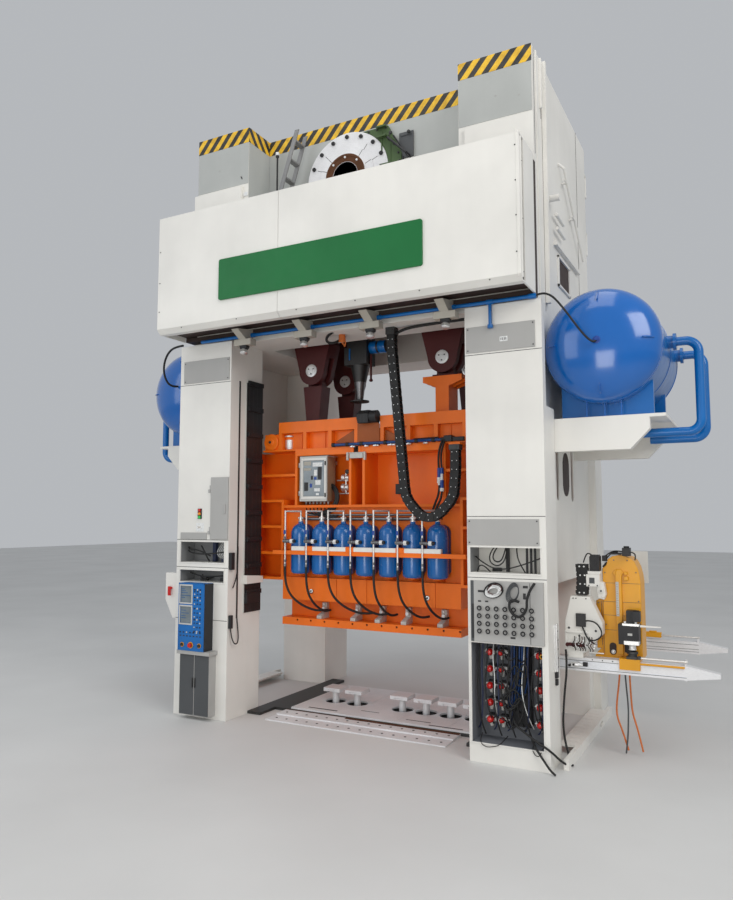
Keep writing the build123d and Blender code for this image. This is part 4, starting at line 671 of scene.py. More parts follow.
joints.rod((2205, -1815, 5320), (2205, -1815, 5275), 34, 14)
joints.rod((2205, -1815, 5290), (2205, -1780, 5290), 16, 10)
make("air_line_joints", joints, "blue_paint")

# Work lamps: holders and lenses
for index, x in enumerate((-1521, -476, 571, 1648)):
    holder = Shape().rod((x - 60, -1905, 5430), (x + 60, -1905, 5430), 44, 16)
    holder.box((x - 40, -1940, 5380), (x + 40, -1870, 5445))
    make(f"lamp_holder_{index}", holder, "black_paint")
    lens = Shape().lathe((x, -1905, 5385), (0, -0.25, -1), [
        (0, 40), (20, 56), (60, 60), (74, 40), (78, 0.5),
    ], 20)
    make(f"lamp_lens_{index}", lens, "bright_steel")

# Hose from the fascia corner to the right tank
hose("tank_hose", [
    (2765, -1800, 5608), (2850, -1800, 5640), (2960, -1790, 5600), (3040, -1770, 5510),
    (3140, -1740, 5365), (3250, -1720, 5190), (3350, -1715, 5050), (3425, -1710, 4985),
    (3455, -1690, 5005), (3455, -1668, 5024),
], 13, "rubber")
make(
    "tank_hose_fittings",
    Shape().lathe((3455, -1640, 5024), (0, -1, 0), [
        (0, 46), (18, 46), (20, 34), (34, 34), (36, 20), (60, 20),
    ], 20),
    "blue_hose",
)
hose("left_tank_hose", [
    (-2794, -1800, 5602), (-3055, -1700, 5629), (-3268, -1620, 5572), (-3423, -1540, 5435),
    (-3498, -1460, 5278), (-3486, -1380, 5130), (-3439, -1290, 5086), (-3415, -1215, 5101),
], 17, "rubber")


def route(points, bends, step=20.0):
    """Places and directions along straight runs joined by tangent arcs."""
    points = [Vector(p) for p in points]
    line = [points[0]]
    for before, corner, after, bend in zip(points, points[1:], points[2:], bends):
        into, out = (before - corner).normalized(), (after - corner).normalized()
        half = into.angle(out) / 2
        cut = bend / math.tan(half)
        centre = corner + (into + out).normalized() * bend / math.sin(half)
        first, last = corner + into * cut - centre, corner + out * cut - centre
        count = max(2, int(bend * (math.pi - 2 * half) / step))
        for i in range(count + 1):
            line.append(centre + first.slerp(last, i / count) * bend)
    line.append(points[-1])
    even, left = [], 0.0
    for a, b in zip(line, line[1:]):
        length = (b - a).length
        while left < length:
            even.append((a.lerp(b, left / length), (b - a).normalized()))
            left += step
        left -= length
    return even


# Energy chain: side plates with pins, cross bars and the cables inside
chain_path = route([
    (608, chain_y, 5580), (608, chain_y, 5330), (811, chain_y, 3197), (1152, chain_y, 2822),
    (1509, chain_y, 3177), (1543, chain_y, 3560), (1543, chain_y, 3890),
], [2500, 420, 230, 320, 2500], 58.0)
plates, pins = Shape(), Shape()
for index, (place, along) in enumerate(chain_path[:-1]):
    across = Vector((along.z, 0, -along.x))
    for side in (-1, 1):
        y = Vector((0, side * (46 if index % 2 else 40), 0))
        outline = []
        for turn in range(12):
            angle = math.radians(30 * turn + 15)
            reach = 30 if math.cos(angle) > 0 else -30
            ahead = 29 + reach * 0.5 + 34 * math.cos(angle) * 0.9
            aside = max(-60, min(60, 84 * math.sin(angle)))
            outline.append(along * ahead + across * aside)
        front = [place + y + Vector((0, side * 8, 0)) + v for v in outline]
        back = [place + y + v for v in outline]
        count = len(outline)
        faces = [tuple(range(count)), tuple(reversed(range(count, 2 * count)))]
        faces += [(i, count + i, count + (i + 1) % count, (i + 1) % count) for i in range(count)]
        plates.put(front + back, faces)
        for offset in (-33, 33) if index % 2 else ():
            spot = place + y + Vector((0, side * 8, 0)) + across * offset
            pins.rod(spot, spot + Vector((0, side * 3, 0)), 6, 8)
    for offset in (-54, 54):
        spot = place + across * offset
        plates.rod(spot - Vector((0, 42, 0)), spot + Vector((0, 42, 0)), 8, 6)
chain = make("chain_links", plates, "rubber", None, bevel=1.5)
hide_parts("energy_chain")
studs = make("chain_pins", pins, "bright_steel", None, bevel=0)
cables = Shape()
for (place, _), (after, _) in zip(chain_path, chain_path[1:]):
    for offset in (-14, 14):
        cables.rod(place + Vector((0, offset, 0)), after + Vector((0, offset, 0)), 22, 8)
core = make("chain_cables", cables, "rubber", None, bevel=0)
for piece in (chain, studs, core):
    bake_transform(piece)
boxes("chain_top_bracket", "dark_steel", [
    (540, -1400, 5480, 676, -1260, 5590), (560, -1410, 5520, 656, -1400, 5560),
])
boxes("chain_low_bracket", "dark_steel", [
    (1470, -1395, 3820, 1616, -1265, 3890), (1500, -1400, 3836, 1586, -1395, 3876),
], "slide")

# Slide: fittings on the upper zone
make(
    "slide_badge",
    Shape().prism([(330, 3270), (430, 3270), (430, 3640), (330, 3640)], "y", -532, -526),
    "orange_paint",
    "slide",
    bevel=3,
)
rim = Shape()
for z in range(3290, 3591, 60):
    rim.prism([(345, z), (415, z), (415, z + 34), (345, z + 34)], "y", -537, -532)
make("slide_badge_relief", rim, "orange_paint", "slide", bevel=5)
boxes("slide_black_box", "black_paint", [(322, -640, 3270, 412, -526, 3420)], "slide", bevel=5)
boxes("channel_cap", "light_grey_paint", [
    (-270, -975, 3800, -50, -905, 3872), (-290, -970, 3872, -30, -900, 3888),
    (-318, -990, 3770, -290, -940, 3890), (-30, -990, 3770, -2, -940, 3890),
], "slide", bevel=5)
boxes("channel_cap_arms", "orange_paint", [
    (-255, -960, 3890, -215, -930, 3975), (-130, -960, 3890, -90, -930, 3975),
], "slide")
boxes("channel_cap_core", "black_paint", [
    (-210, -950, 3888, -134, -880, 3985), (-250, -930, 3900, -100, -890, 3940),
], "slide")
valves = Shape()
for z, size in ((3380, 62), (3530, 54)):
    valves.lathe((-480, -700, z), (1, 0, 0), [
        (-70, 20), (-60, size), (-10, size), (0, size * 0.7), (50, size * 0.7), (60, 24), (120, 24),
    ], 18)
    valves.rod((-480, -700, z), (-480, -526, z), 20, 12)
valves.rod((-480, -700, 3300), (-480, -700, 3640), 16, 12)
valves.rod((-640, -700, 3290), (-360, -700, 3290), 12, 10)
valves.rod((-640, -700, 3490), (-440, -700, 3490), 12, 10)
make("valve_cluster", valves, "bright_steel", "slide")
make(
    "valve_knob",
    Shape().lathe((-430, -735, 3620), (0, -1, 0), [(0, 10), (12, 34), (30, 34), (34, 20)], 16),
    "black_plastic",
    "slide",
)

# Control cabinet: parts behind the pane, locks, glands and looms
plate_y = -940.3
cabinet_parts = (
    (
        "cabinet_white_plastic",
        "white_plastic",
        4.5,
        [
            (-930, 3700, -760, 3760), (-905, 3560, -850, 3650), (-900, 3320, -800, 3370),
            (-880, 3420, -790, 3490), (-870, 3262, -820, 3295),
        ],
    ),
    (
        "cabinet_black_plastic",
        "black_plastic",
        4.5,
        [(-840, 3500, -770, 3690), (-1080, 3330, -1010, 3460), (-960, 3500, -925, 3560)],
    ),
    ("cabinet_lamp_beige", "lamp_beige", 4.5, [(-1085, 3640, -960, 3680), (-1085, 3720, -960, 3780)]),
    ("cabinet_blue_hose", "blue_hose", 4.5, [(-905, 3500, -860, 3540), (-980, 3380, -940, 3440)]),
    ("cabinet_screen", "dark_glass", 1.2, [(-1095, 3250, -728, 3790)]),
)
for name, material, thick, places in cabinet_parts:
    shape = Shape()
    for low_x, low_z, high_x, high_z in places:
        shape.box((low_x, plate_y - thick, low_z), (high_x, plate_y, high_z))
    make(name, shape, material, "cabinet_door", bevel=1)
locks = Shape()
for z in (3745, 3265):
    locks.box((-712, -958, z - 32), (-690, -950, z + 32)).rod((-701, -958, z), (-701, -964, z), 9, 12)
make("cabinet_locks", locks, "black_plastic", "cabinet_door", bevel=2)
boxes("cabinet_lid", "light_grey_paint", [
    (-1166, -934, 3848, -666, -690, 3862), (-1120, -700, 3862, -1090, -526, 3930),
    (-760, -700, 3862, -730, -526, 3930),
], "slide", bevel=2)
boxes("cabinet_flank", "cabinet_brown", [(-675, -928, 3176, -671, -700, 3850)], "slide", bevel=1)
boxes("cabinet_rim", "white_paint", [
    (-1130, -953.5, 3795, -692, -950.3, 3828), (-1130, -953.5, 3209, -692, -950.3, 3242),
    (-1130, -953.5, 3242, -1102, -950.3, 3795), (-720, -953.5, 3242, -692, -950.3, 3795),
], "cabinet_door", bevel=1)
gland_places = [-1110 + 65 * step for step in range(7)]
glands = Shape()
for x in gland_places:
    glands.rod((x, -830, 3172), (x, -830, 3142), 17, 12).rod((x, -830, 3142), (x, -830, 3128), 13, 12)
make("cabinet_glands", glands, "grey_paint", "slide", bevel=1)
looms = []
for step, x in enumerate(gland_places):
    looms.append(
        [
            (x, -830, 3140), (x + 10, -840, 3060), (x + 60, -900, 2990),
            (-760 + 14 * step, -900, 2950 - 9 * step), (-560 + 12 * step, -900, 2960),
        ]
    )
hose("cabinet_looms", looms, 9, "rubber", "slide")
hose("cabinet_loop", [
    [
        (-672, -800, 3420), (-600, -830, 3400), (-520, -850, 3250), (-560, -880, 3060), (-700, -900, 2990),
        (-850, -900, 2960),
    ],
    [
        (-672, -790, 3390), (-620, -830, 3370), (-550, -850, 3250), (-590, -880, 3090), (-720, -905, 3010),
        (-860, -905, 2980),
    ],
], 24, "rubber", "slide")
hose("cabinet_side_cable", [
    (-1200, -700, 3860), (-1206, -760, 3700), (-1230, -760, 3400), (-1190, -780, 3200),
    (-1180, -640, 3130),
], 7, "rubber", "slide")

# Slide top: blue pipe, fittings, gussets and the motor's hood
hose("slide_pipe", [(-560, -982, 4008), (1240, -982, 4008)], 22, "deep_blue", "slide", smooth=False)
fit = Shape()
for x in (-540, -300, -60, 330, 560, 820, 1080, 1220):
    fit.rod((x - 24, -982, 4008), (x + 24, -982, 4008), 31, 16)
make("slide_pipe_joints", fit, "black_paint", "slide")
fit = Shape()
for x, w in ((-210, 40), (20, 30), (180, 46), (430, 60), (700, 34), (960, 34)):
    fit.box((x - w, -1002, 3960), (x + w, -952, 3980)).rod((x, -990, 3972), (x, -1016, 3972), 14, 12)
make("slide_pipe_blocks", fit, "bright_steel", "slide", bevel=4)
fit = Shape().box((1240, -1010, 3975), (1360, -880, 4060)).box((1360, -990, 3978), (1530, -900, 4036))
fit.rod((1240, -960, 4010), (980, -960, 4004), 16, 12).rod((1150, -960, 4040), (760, -960, 4034), 12, 12)
make("slide_valve_block", fit, "black_paint", "slide", bevel=5)
# The sloping gussets take the darkened orange, painted shade of the recess between the beams.
gusset = Shape().prism([(-640, 3982), (-150, 4232), (-150, 3982)], "y", -902, -890)
gusset.prism([(226, 4232), (226, 3982), (760, 3982)], "y", -902, -890)
gusset.prism([(-150, 3982), (-150, 4232), (-232, 4232), (-560, 4060)], "y", -900, -870)
make("beam_gussets", gusset, "slope_shaded_orange", "slide")
fill = Shape().box((-1548, -850, 3980), (-146, -838, 4238)).box((228, -850, 3980), (1548, -838, 4238))
for x in (-1180, -760, 620, 1040, 1290):
    fill.box((x - 8, -866, 3980), (x + 8, -850, 4238))
make("beam_backs", fill, "orange_paint", "slide", bevel=2)
# Dark brown box in the gap between the beams: painted shade where the gap lies in shadow.
boxes("beam_gap_shade", "dark_brown_paint", [(-140, -930, 3982, 220, -740, 4230)], "slide", bevel=0)
# The motor's foot plate also takes the darkened orange as painted shade.
gusset = Shape().prism([
    (-143, 3985), (-143, 4300), (-100, 4330), (160, 4330), (225, 4290), (225, 3985),
], "y", -964, -952)
make("motor_foot_plate", gusset, "slope_shaded_orange", "slide", bevel=4)
hood = Shape().prism([
    (-970, 4330), (-1062, 4300), (-1062, 4440), (-1010, 4492), (-930, 4500), (-860, 4470), (-860, 4330),
], "x", -96, 84)
make("motor_hood", hood, "black_paint", "slide", bevel=8)
fins = Shape()
for step in range(7):
    x = -84 + 23 * step
    fins.prism([
        (-1066, 4310), (-1066, 4438), (-1012, 4497), (-928, 4505), (-870, 4478), (-870, 4320),
    ], "x", x, x + 8)
make("motor_fins", fins, "dark_steel", "slide", bevel=1)

# Lubricator and the steel pump beside it
pump = Shape().lathe((-1694, -930, 4105), (0, -1, 0), [
    (0, 132), (30, 132), (42, 120), (44, 60), (56, 52), (60, 20),
], 36)
make("lubricator_face", pump, "orange_paint", "slide")
rods("lubricator_caps", "black_plastic", [
    (-1640, -790, 4228, -1640, -790, 4262, 30, 14), (-1700, -790, 4228, -1700, -790, 4250, 18, 12),
    (-1694, -988, 4105, -1694, -998, 4105, 22, 12),
], "slide")
pump = Shape().lathe((-1425, -830, 3990), (0, 0, 1), [
    (0, 66), (20, 66), (22, 72), (150, 72), (154, 58), (190, 58), (192, 84), (214, 84), (230, 40),
    (236, 1),
], 24)
make("steel_pump", pump, "bright_steel", "slide")

# Hoses with blue couplings beside the chain
hose("side_hoses", [
    [(1225, -1000, 4000), (1195, -1040, 3900), (1160, -1010, 3740), (1165, -1000, 3600)],
    [(1255, -1000, 4000), (1235, -1040, 3900), (1200, -1020, 3760), (1208, -1000, 3600)],
    [(1170, -1000, 3380), (1165, -1000, 3250), (1110, -1020, 3120), (1060, -1020, 2980)],
    [(1210, -1000, 3330), (1205, -1000, 3200), (1140, -1020, 3080), (1090, -1020, 2960)],
], 15, "rubber", "slide")
rods("side_hose_blue", "blue_hose", [
    (1168, -1000, 3480, 1168, -1000, 3610, 26, 14), (1209, -1000, 3330, 1209, -1000, 3440, 26, 14),
    (1209, -1000, 3530, 1209, -1000, 3610, 26, 14),
], "slide")
rods("side_hose_white", "white_plastic", [
    (1168, -1000, 3400, 1168, -1000, 3480, 30, 12), (1209, -1000, 3285, 1209, -1000, 3332, 30, 12),
    (1209, -1000, 3440, 1209, -1000, 3530, 20, 12), (1168, -1000, 3370, 1168, -1000, 3400, 20, 12),
], "slide")

# Bottles: shells, necks, outlet pipes with valves and hoses, rail clips and manifold
bottle_x = [20 + bottle_pitch * (step - 3) for step in range(7)]
necks, clips, ends, bodies, caps, shells = Shape(), Shape(), Shape(), Shape(), Shape(), Shape()
hoses = []
hose_ends = (-728, -690, 56, 290, 420, 918, 1212)
for index, x in enumerate(bottle_x):
    necks.lathe((x, bottle_y, 2868), (0, 0, 1), [
        (0, 44), (10, 44), (14, 30), (34, 30), (36, 38), (58, 38), (62, 24), (78, 24),
    ], 18)
    necks.rod((x - 42, bottle_y, 2918), (x + 42, bottle_y, 2918), 15, 12)
    necks.rod((x, bottle_y, 2918), (x, -1052, 2918), 12, 12)
    shells.lathe((x, bottle_y, bottle_base), (0, 0, 1), [
        (0, 70), (3, 112), (14, 132), (34, 143), (60, 146), (590, 146), (630, 143), (664, 134), (694, 118),
        (718, 96), (736, 72), (746, 52), (752, 40), (760, 36), (785, 36),
    ], 56)
    px = x - pipe_offset
    bodies.lathe((px - 30, valve_y, 2576), (1, 0, 0), [
        (0, 16), (6, 24), (24, 24), (26, 18), (34, 18), (36, 26), (52, 26), (54, 19), (62, 19), (64, 27),
        (82, 27), (84, 20), (92, 20), (94, 27), (112, 27), (114, 20), (134, 20),
    ], 16)
    bodies.rod((px, valve_y, 2600), (px, valve_y, 2644), 18, 6)
    ends.rod((px + 104, valve_y, 2576), (px + 150, valve_y, 2576), 35, 6)
    caps.rod((px + 150, valve_y, 2576), (px + 184, valve_y, 2576), 25, 12)
    bodies.rod((px, outlet_y, 2300), (px, outlet_y, 2262), 20, 6)
    bodies.rod((px, outlet_y, 2240), (px, outlet_y, 2200), 21, 12)
    stop = hose_ends[index]
    reach = stop - px
    hoses.append(
        [
            (px, outlet_y, 2215), (px, outlet_y, 2080), (px + 0.03 * reach, -1200, 1930),
            (px + 0.12 * reach, -1160, 1780), (px + 0.3 * reach, -1060, 1650),
            (px + 0.52 * reach, -950, 1565), (px + 0.78 * reach, -860, 1525), (stop, -790, 1545),
        ]
    )
bottles = make("bottle_shells", shells, "bottle_blue", "slide", bevel=0, smooth=60)
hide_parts("bottles")
make("valve_caps", caps, "black_plastic", "slide", bevel=1.5)
ports = Shape()
# Black discs inside the port rings: painted shade in the openings.
holes = Shape()
for x, z in ((-935, 1826), (959, 1815)):
    ports.lathe((x, -950, z), (0, -1, 0), [(0, 14), (0, 30), (10, 30), (14, 24), (14, 14), (0, 14)], 24)
    holes.rod((x, -950, z), (x, -956, z), 15, 16)
make("slide_ports", ports, "bright_steel", "slide", bevel=0)
make("slide_port_hole_shade", holes, "black_paint", "slide", bevel=0)
for x in (-831, -140, 657):
    clips.box((x - 64, -1208, 2432), (x + 64, -1201, 2506))
    clips.box((x - 64, -1208, 2500), (x + 64, -1144, 2507))
    clips.rod((x - 34, -1208, 2470), (x - 34, -1216, 2470), 10, 6)
    clips.rod((x + 34, -1208, 2470), (x + 34, -1216, 2470), 10, 6)
make("bottle_valves", necks, "bright_steel", "slide", bevel=1)
make("rail_clips", clips, "orange_paint", "slide", bevel=2)
boxes("rail_cover", "white_paint", [
    (-1140, -1201, 2438, 1262, -1195.5, 2498), (-1140, -1201, 2495.5, 1262, -1144, 2500),
    (-1140, -1201, 2438, -1133, -1144, 2500), (1258, -1201, 2438, 1265, -1144, 2500),
], "slide", bevel=1.5)
# Dark blue bodies half sunk in the wall behind the bottles: painted shade showing to the right of each
# bottle.
backs = Shape()
for x in bottle_x:
    backs.lathe((x, -872, 2092), (0, 0, 1), [(0, 80), (90, 140), (650, 140), (700, 112), (732, 60)], 28)
make("bottle_back_shade", backs, "deep_blue", "slide", bevel=0)
make("pipe_end_fittings", ends, "white_plastic", "slide", bevel=2)
make("pipe_valve_bodies", bodies, "pipe_steel", "slide", bevel=0.8)
hose("outlet_hoses", hoses, 17, "rubber", "slide")
pipes = Shape().rod((-1100, manifold_y, 2905), (900, manifold_y, 2905), 24, 14)
pipes.rod((-1060, manifold_y, 2965), (980, manifold_y, 2965), 16, 12)
for x in bottle_x:
    pipes.rod((x + 20, manifold_y, 2905), (x + 20, -960, 2918), 14, 10)
make("bottle_manifold", pipes, "pipe_steel", "slide")
tags = Shape()
for x in bottle_x:
    tags.box((x - pipe_offset - 17, -1232, 2680), (x - pipe_offset + 17, valve_y, 2740))
make("pipe_tags", tags, "blue_hose", "slide", bevel=1)

# Recess brackets: bolts and collars, and the screws of the flange strip
bolts = Shape()
for x in (-815, -242, 159, 574, 1128):
    for dz in (1480, 1620):
        bolts.bolt((x, -780, dz), (0, -1, 0), 13)
    bolts.rod((x, -800, 1560), (x, -760, 1560), 26, 14)
make("recess_bolts", bolts, "bright_steel", "slide", bevel=1)
screws = Shape()
for x in [126 + 237.5 * (i - 5.5) for i in range(12)]:
    screws.rod((x, -925, 1385), (x, -900, 1385), 15, 12)
make("strip_screws", screws, "dark_steel", "slide", bevel=0)

# Casings: seams, niche backs and lips, cover screws and tags
seams = Shape()
for z in (1415, 2180, 2590, 4960):
    seams.box((-2838, -1781.5, z), (-1857, casing_y, z + 7))
for z in (2190, 2935, 4960):
    seams.box((1857, -1781.5, z), (2838, casing_y, z + 7))
make("casing_seams", seams, "dark_steel", bevel=0)
boxes("left_niche_backs", "niche_grey", [
    (-2764, -1462, 2256, -1931, -1450.5, 2559), (-2764, -1462, 1966, -1931, -1450.5, 2139),
], bevel=0)
boxes("niche_backs", "white_paint", [(1893, -1462, 2256, 2764, -1450.5, 2559)], bevel=0)
boxes("window_back", "slate", [(1893, -1462, 236, 2764, -1450.5, 1409)], bevel=0)
lips = Shape()
for low_x, high_x, low_z, high_z in (
    (-2765, -1930, 2255, 2560), (-2765, -1930, 1965, 2140), (1892, 2765, 2255, 2560),
    (1892, 2765, 235, 1410),
):
    border(lips, low_x, high_x, low_z, high_z, 16, -1788, casing_y)
make("niche_lips", lips, "white_paint", bevel=1.5)
studs = Shape()
for x, z in (
    (-2740, 5020), (-1910, 5020), (-2740, 5300), (-1910, 5300), (1900, 5020), (2735, 5020), (1900, 5290),
    (2735, 5290), (1890, 2620), (2735, 2620), (1890, 2880), (2735, 2880),
):
    studs.rod((x, -1790, z), (x, -1794, z), 9, 10)
make("cover_screws", studs, "dark_steel", bevel=0)
boxes("casing_tags", "white_plastic", [
    (2316, -1793, 5098, 2417, -1790, 5160), (-1990, -1783, 2672, -1920, -1780.5, 2740),
], bevel=1)
ticks = Shape().box((-1962, -1784.5, 2684), (-1950, -1783, 2728))
for x in (2330, 2352, 2374, 2392):
    ticks.box((x, -1794, 5112), (x + 8, -1793, 5146))
make("tag_marks", ticks, "black_plastic", bevel=0)

# Left casing: lamp stack, key plate and switch gear in the niches
boxes("lamp_plate", "black_plastic", [(-2440, -1792, 2905, -2365, casing_y, 3060)], bevel=3)
for name, z, material in (
    ("red", 3035, "red_plastic"), ("amber", 2982, "amber_lamp"), ("green", 2930, "green_lamp")
):
    lamp = Shape().lathe((-2402, -1792, z), (0, -1, 0), [
        (0, 24), (8, 24), (18, 20), (26, 12), (29, 0.5),
    ], 18)
    make("lamp_" + name, lamp, material, bevel=0)
boxes("key_plate", "white_plastic", [(-2470, -1784, 2715, -2320, -1780.4, 2845)], bevel=2)
boxes("left_switch_gear", "navy_plastic", [
    (-2330, -1560, 2256, -2270, -1500, 2556), (-2130, -1600, 2256, -2050, -1520, 2330),
], bevel=4)
boxes("left_low_gear", "dark_steel", [
    (-2560, -1560, 1966, -2440, -1500, 2030), (-2180, -1560, 1966, -2080, -1500, 2020),
], bevel=4)
coil = []
for step in range(5):
    x = -2130 + 34 * step
    coil.append(
        [
            (x, -1560, 2556), (x + 6, -1640, 2490), (x - 18, -1690, 2400), (x + 20, -1660, 2330),
            (x + 4, -1580, 2300),
        ]
    )
hose("left_white_wires", coil, 5, "white_plastic")
hose("left_black_wires", [
    [
        (-2760, -1600, 2420), (-2600, -1765, 2395), (-2350, -1770, 2380), (-2100, -1765, 2395),
        (-1940, -1640, 2420),
    ],
    [(-2760, -1600, 2470), (-2640, -1720, 2440), (-2420, -1760, 2445), (-2250, -1700, 2350)],
    [(-2430, -1700, 2500), (-2360, -1740, 2460), (-2300, -1700, 2300), (-2350, -1600, 2270)],
    [(-2700, -1620, 2090), (-2500, -1740, 2060), (-2200, -1745, 2040), (-1960, -1640, 2070)],
    [(-2480, -1600, 2060), (-2420, -1700, 2010), (-2330, -1690, 2000), (-2260, -1600, 2030)],
], 11, "rubber")

# Operator panel: screens, keys, button rings, edges and the cabinet below
frames = Shape()
for z in (1500, 1800):
    border(frames, -2570, -2360, z - 120, z + 120, 22, -1986, panel_y)
make("screen_frames", frames, "light_grey_paint", bevel=2)
boxes("screen_glass", "dark_glass", [
    (-2569, -1973, 1681, -2361, -1968.5, 1919), (-2569, -1973, 1381, -2361, -1968.5, 1619),
], bevel=1)
rows = Shape()
for z in (1870, 1842, 1815, 1775, 1745, 1560, 1520, 1480, 1450):
    rows.box((-2555, -1974.2, z), (-2555 + 60 + (z * 7) % 110, -1973, z + 9))
make("screen_rows", rows, "screen", bevel=0)
keys, caps, lights = Shape(), Shape(), Shape()
for row, z in enumerate((1872, 1845, 1805, 1760, 1715, 1665, 1600, 1536, 1480, 1440, 1390, 1330, 1270)):
    for column in range(3):
        x = -2298 + 52 * column
        target = (keys, caps, lights)[(row + column * 2) % 3]
        target.rod((x, panel_y, z), (x, -1988, z), 10 if row % 3 else 13, 14)
for column in range(7):
    target = (keys, caps, lights)[column % 3]
    target.rod((-2560 + 62 * column, panel_y, 1250), (-2560 + 62 * column, -1989, 1250), 11, 14)
    keys.box((-2572 + 62 * column, -1981.5, 1190), (-2540 + 62 * column, panel_y, 1206))
make("panel_keys", keys, "black_plastic", bevel=1)
make("panel_caps", caps, "navy_plastic", bevel=1)
make("panel_lights", lights, "light_grey_paint", bevel=1)
shroud = Shape().lathe((-2360, panel_y, 1070), (0, -1, 0), [
    (0, 34), (0, 46), (6, 46), (6, 34), (0, 34),
], 28)
for x in (-2520, -2200):
    shroud.lathe((x, panel_y, 1070), (0, -1, 0), [(0, 26), (0, 34), (8, 34), (8, 26), (0, 26)], 24)
make("button_rings", shroud, "yellow_paint", bevel=0)
boxes("panel_edges", "blue_paint", [
    (-2604, -1984, 985, -2592, -1978, 1962), (-2132, -1984, 985, -2118, -1978, 1962),
    (-2604, -1984, 1950, -2118, -1978, 1964),
], bevel=1)
boxes("panel_side", "black_paint", [(-2119, -1979, 988, -2115, -1786, 1957)], bevel=1)
boxes("low_cabinet_doors", "dark_grey_paint", [
    (-2594, -1936, 70, -2332, -1930, 922), (-2318, -1936, 70, -2056, -1930, 922),
], bevel=3)
boxes("low_cabinet_pulls", "black_plastic", [
    (-2356, -1948, 460, -2340, -1936, 600), (-2310, -1948, 460, -2294, -1936, 600),
], bevel=3)

# Inner side of the left casing: guide track with clamps, slot, boxes and a switch with its cable
boxes("guide_track", "black_paint", [(-1855, -1400, 1500, -1838, -991, 5000)], bevel=2)
boxes("track_edge", "light_grey_paint", [(-1855, -1412, 1500, -1842, -1401, 5000)], bevel=1)
grooves = Shape()
for y in (-1340, -1240, -1140, -1050):
    grooves.box((-1838, y - 6, 1505), (-1836.5, y + 6, 4995))
grooves.box((-1855, -1580, 1440), (-1850, -1545, 5000))
make("track_grooves", grooves, "dark_steel", bevel=0)
clamps = Shape()
for step in range(9):
    z = 1800 + 400 * step
    clamps.box((-1838, -1380, z - 34), (-1806, -1010, z + 34))
    clamps.rod((-1806, -1330, z), (-1796, -1330, z), 16, 6)
    clamps.rod((-1806, -1070, z), (-1796, -1070, z), 16, 6)
make("track_clamps", clamps, "black_paint", bevel=3)
boxes("inner_boxes", "black_paint", [
    (-1855, -1770, 2160, -1800, -1690, 2410), (-1855, -1400, 1640, -1790, -1080, 1790),
    (-1855, -1760, 1310, -1810, -1700, 1500),
], bevel=4)
bracket = Shape().prism([(-1430, 1930), (-1010, 1930), (-1010, 2030), (-1430, 2060)], "x", -1855, -1780)
make("inner_bracket", bracket, "white_paint", bevel=4)
hose("inner_cable", [
    [
        (-1832, -1730, 1312), (-1810, -1740, 1200), (-1780, -1700, 1080), (-1790, -1600, 1090),
        (-1820, -1560, 1240), (-1848, -1562, 1440),
    ],
    [(-1826, -1700, 1890), (-1800, -1660, 2000), (-1812, -1600, 2250), (-1846, -1562, 2500)],
], 9, "rubber")

# Right casing: dark pipes, hose loops and wires in the upper niche
boxes("right_gear", "black_paint", [
    (2275, -1560, 2256, 2310, -1500, 2556), (2080, -1500, 2256, 2200, -1470, 2300),
], bevel=4)
columns = Shape()
for x in (2580, 2630, 2680):
    columns.rod((x, -1690, 2256), (x, -1690, 2559), 15, 12)
make("niche_columns", columns, "black_paint", bevel=0)
hose("niche_loops", [
    [
        (2140, -1600, 2555), (2110, -1700, 2480), (2130, -1730, 2370), (2230, -1735, 2330),
        (2310, -1730, 2390), (2330, -1700, 2500), (2320, -1600, 2555),
    ],
    [
        (2180, -1600, 2555), (2155, -1700, 2480), (2170, -1720, 2400), (2240, -1722, 2380),
        (2290, -1715, 2430), (2290, -1600, 2555),
    ],
    [
        (1900, -1600, 2440), (2000, -1740, 2400), (2200, -1750, 2290), (2460, -1750, 2320),
        (2740, -1640, 2440),
    ],
    [(2440, -1640, 2555), (2470, -1740, 2460), (2520, -1750, 2350), (2560, -1700, 2262)],
    [(1960, -1700, 2262), (1980, -1755, 2330), (2060, -1755, 2350), (2120, -1700, 2262)],
], 8, "rubber")

# Gauge panel: dials, labels, coiled wires and the cable loop
rings, dials, hands = Shape(), Shape(), Shape()
for row in range(4):
    for column in range(7):
        x, z = gauge_left + gauge_pitch * column, gauge_low + gauge_rise * row
        rings.lathe((x, gauge_y, z), (0, -1, 0), [
            (0, 15), (0, 30), (6, 31), (11, 26), (8, 15), (0, 15),
        ], 28)
        dials.rod((x, gauge_y, z), (x, -1843.5, z), 17, 24)
        lean = math.radians(35 * ((row * 3 + column * 5) % 7) - 40)
        hands.rod((x, -1844.5, z), (x + 24 * math.cos(lean), -1844.5, z + 12 * math.sin(lean)), 1.6, 6)
        hands.rod((x, -1843.5, z), (x, -1846, z), 5, 10)
make("gauge_rings", rings, "black_paint", bevel=0)
make("gauge_dials", dials, "grey_paint", bevel=0)
make("gauge_hands", hands, "black_plastic", bevel=0)
boxes("gauge_strip", "dark_grey_paint", [(1907, -1821.5, 1432, 1946, -1820, 2158)], bevel=0)
marks = Shape()
for x, z, w, h in (
    (2000, 2020, 74, 26), (2130, 2080, 52, 40), (2000, 1905, 40, 18), (2090, 1905, 40, 18),
    (2400, 1490, 60, 22), (2560, 2090, 60, 30), (2560, 1960, 34, 70),
):
    marks.box((x, -1822, z), (x + w, -1820, z + h))
marks.box((1922, -1826, 1470), (1946, -1820, 1880)).box((2640, -1821.5, 1440), (2646, -1820, 2150))
make("gauge_labels", marks, "black_plastic", bevel=0.5)
hose(
    "gauge_wires_black",
    [loop(2208, -1848, 2052, 118 - 9 * i, 92 - 7 * i, 0.25, 0.4 * i) for i in (0, 1, 4)],
    5,
    "rubber",
)
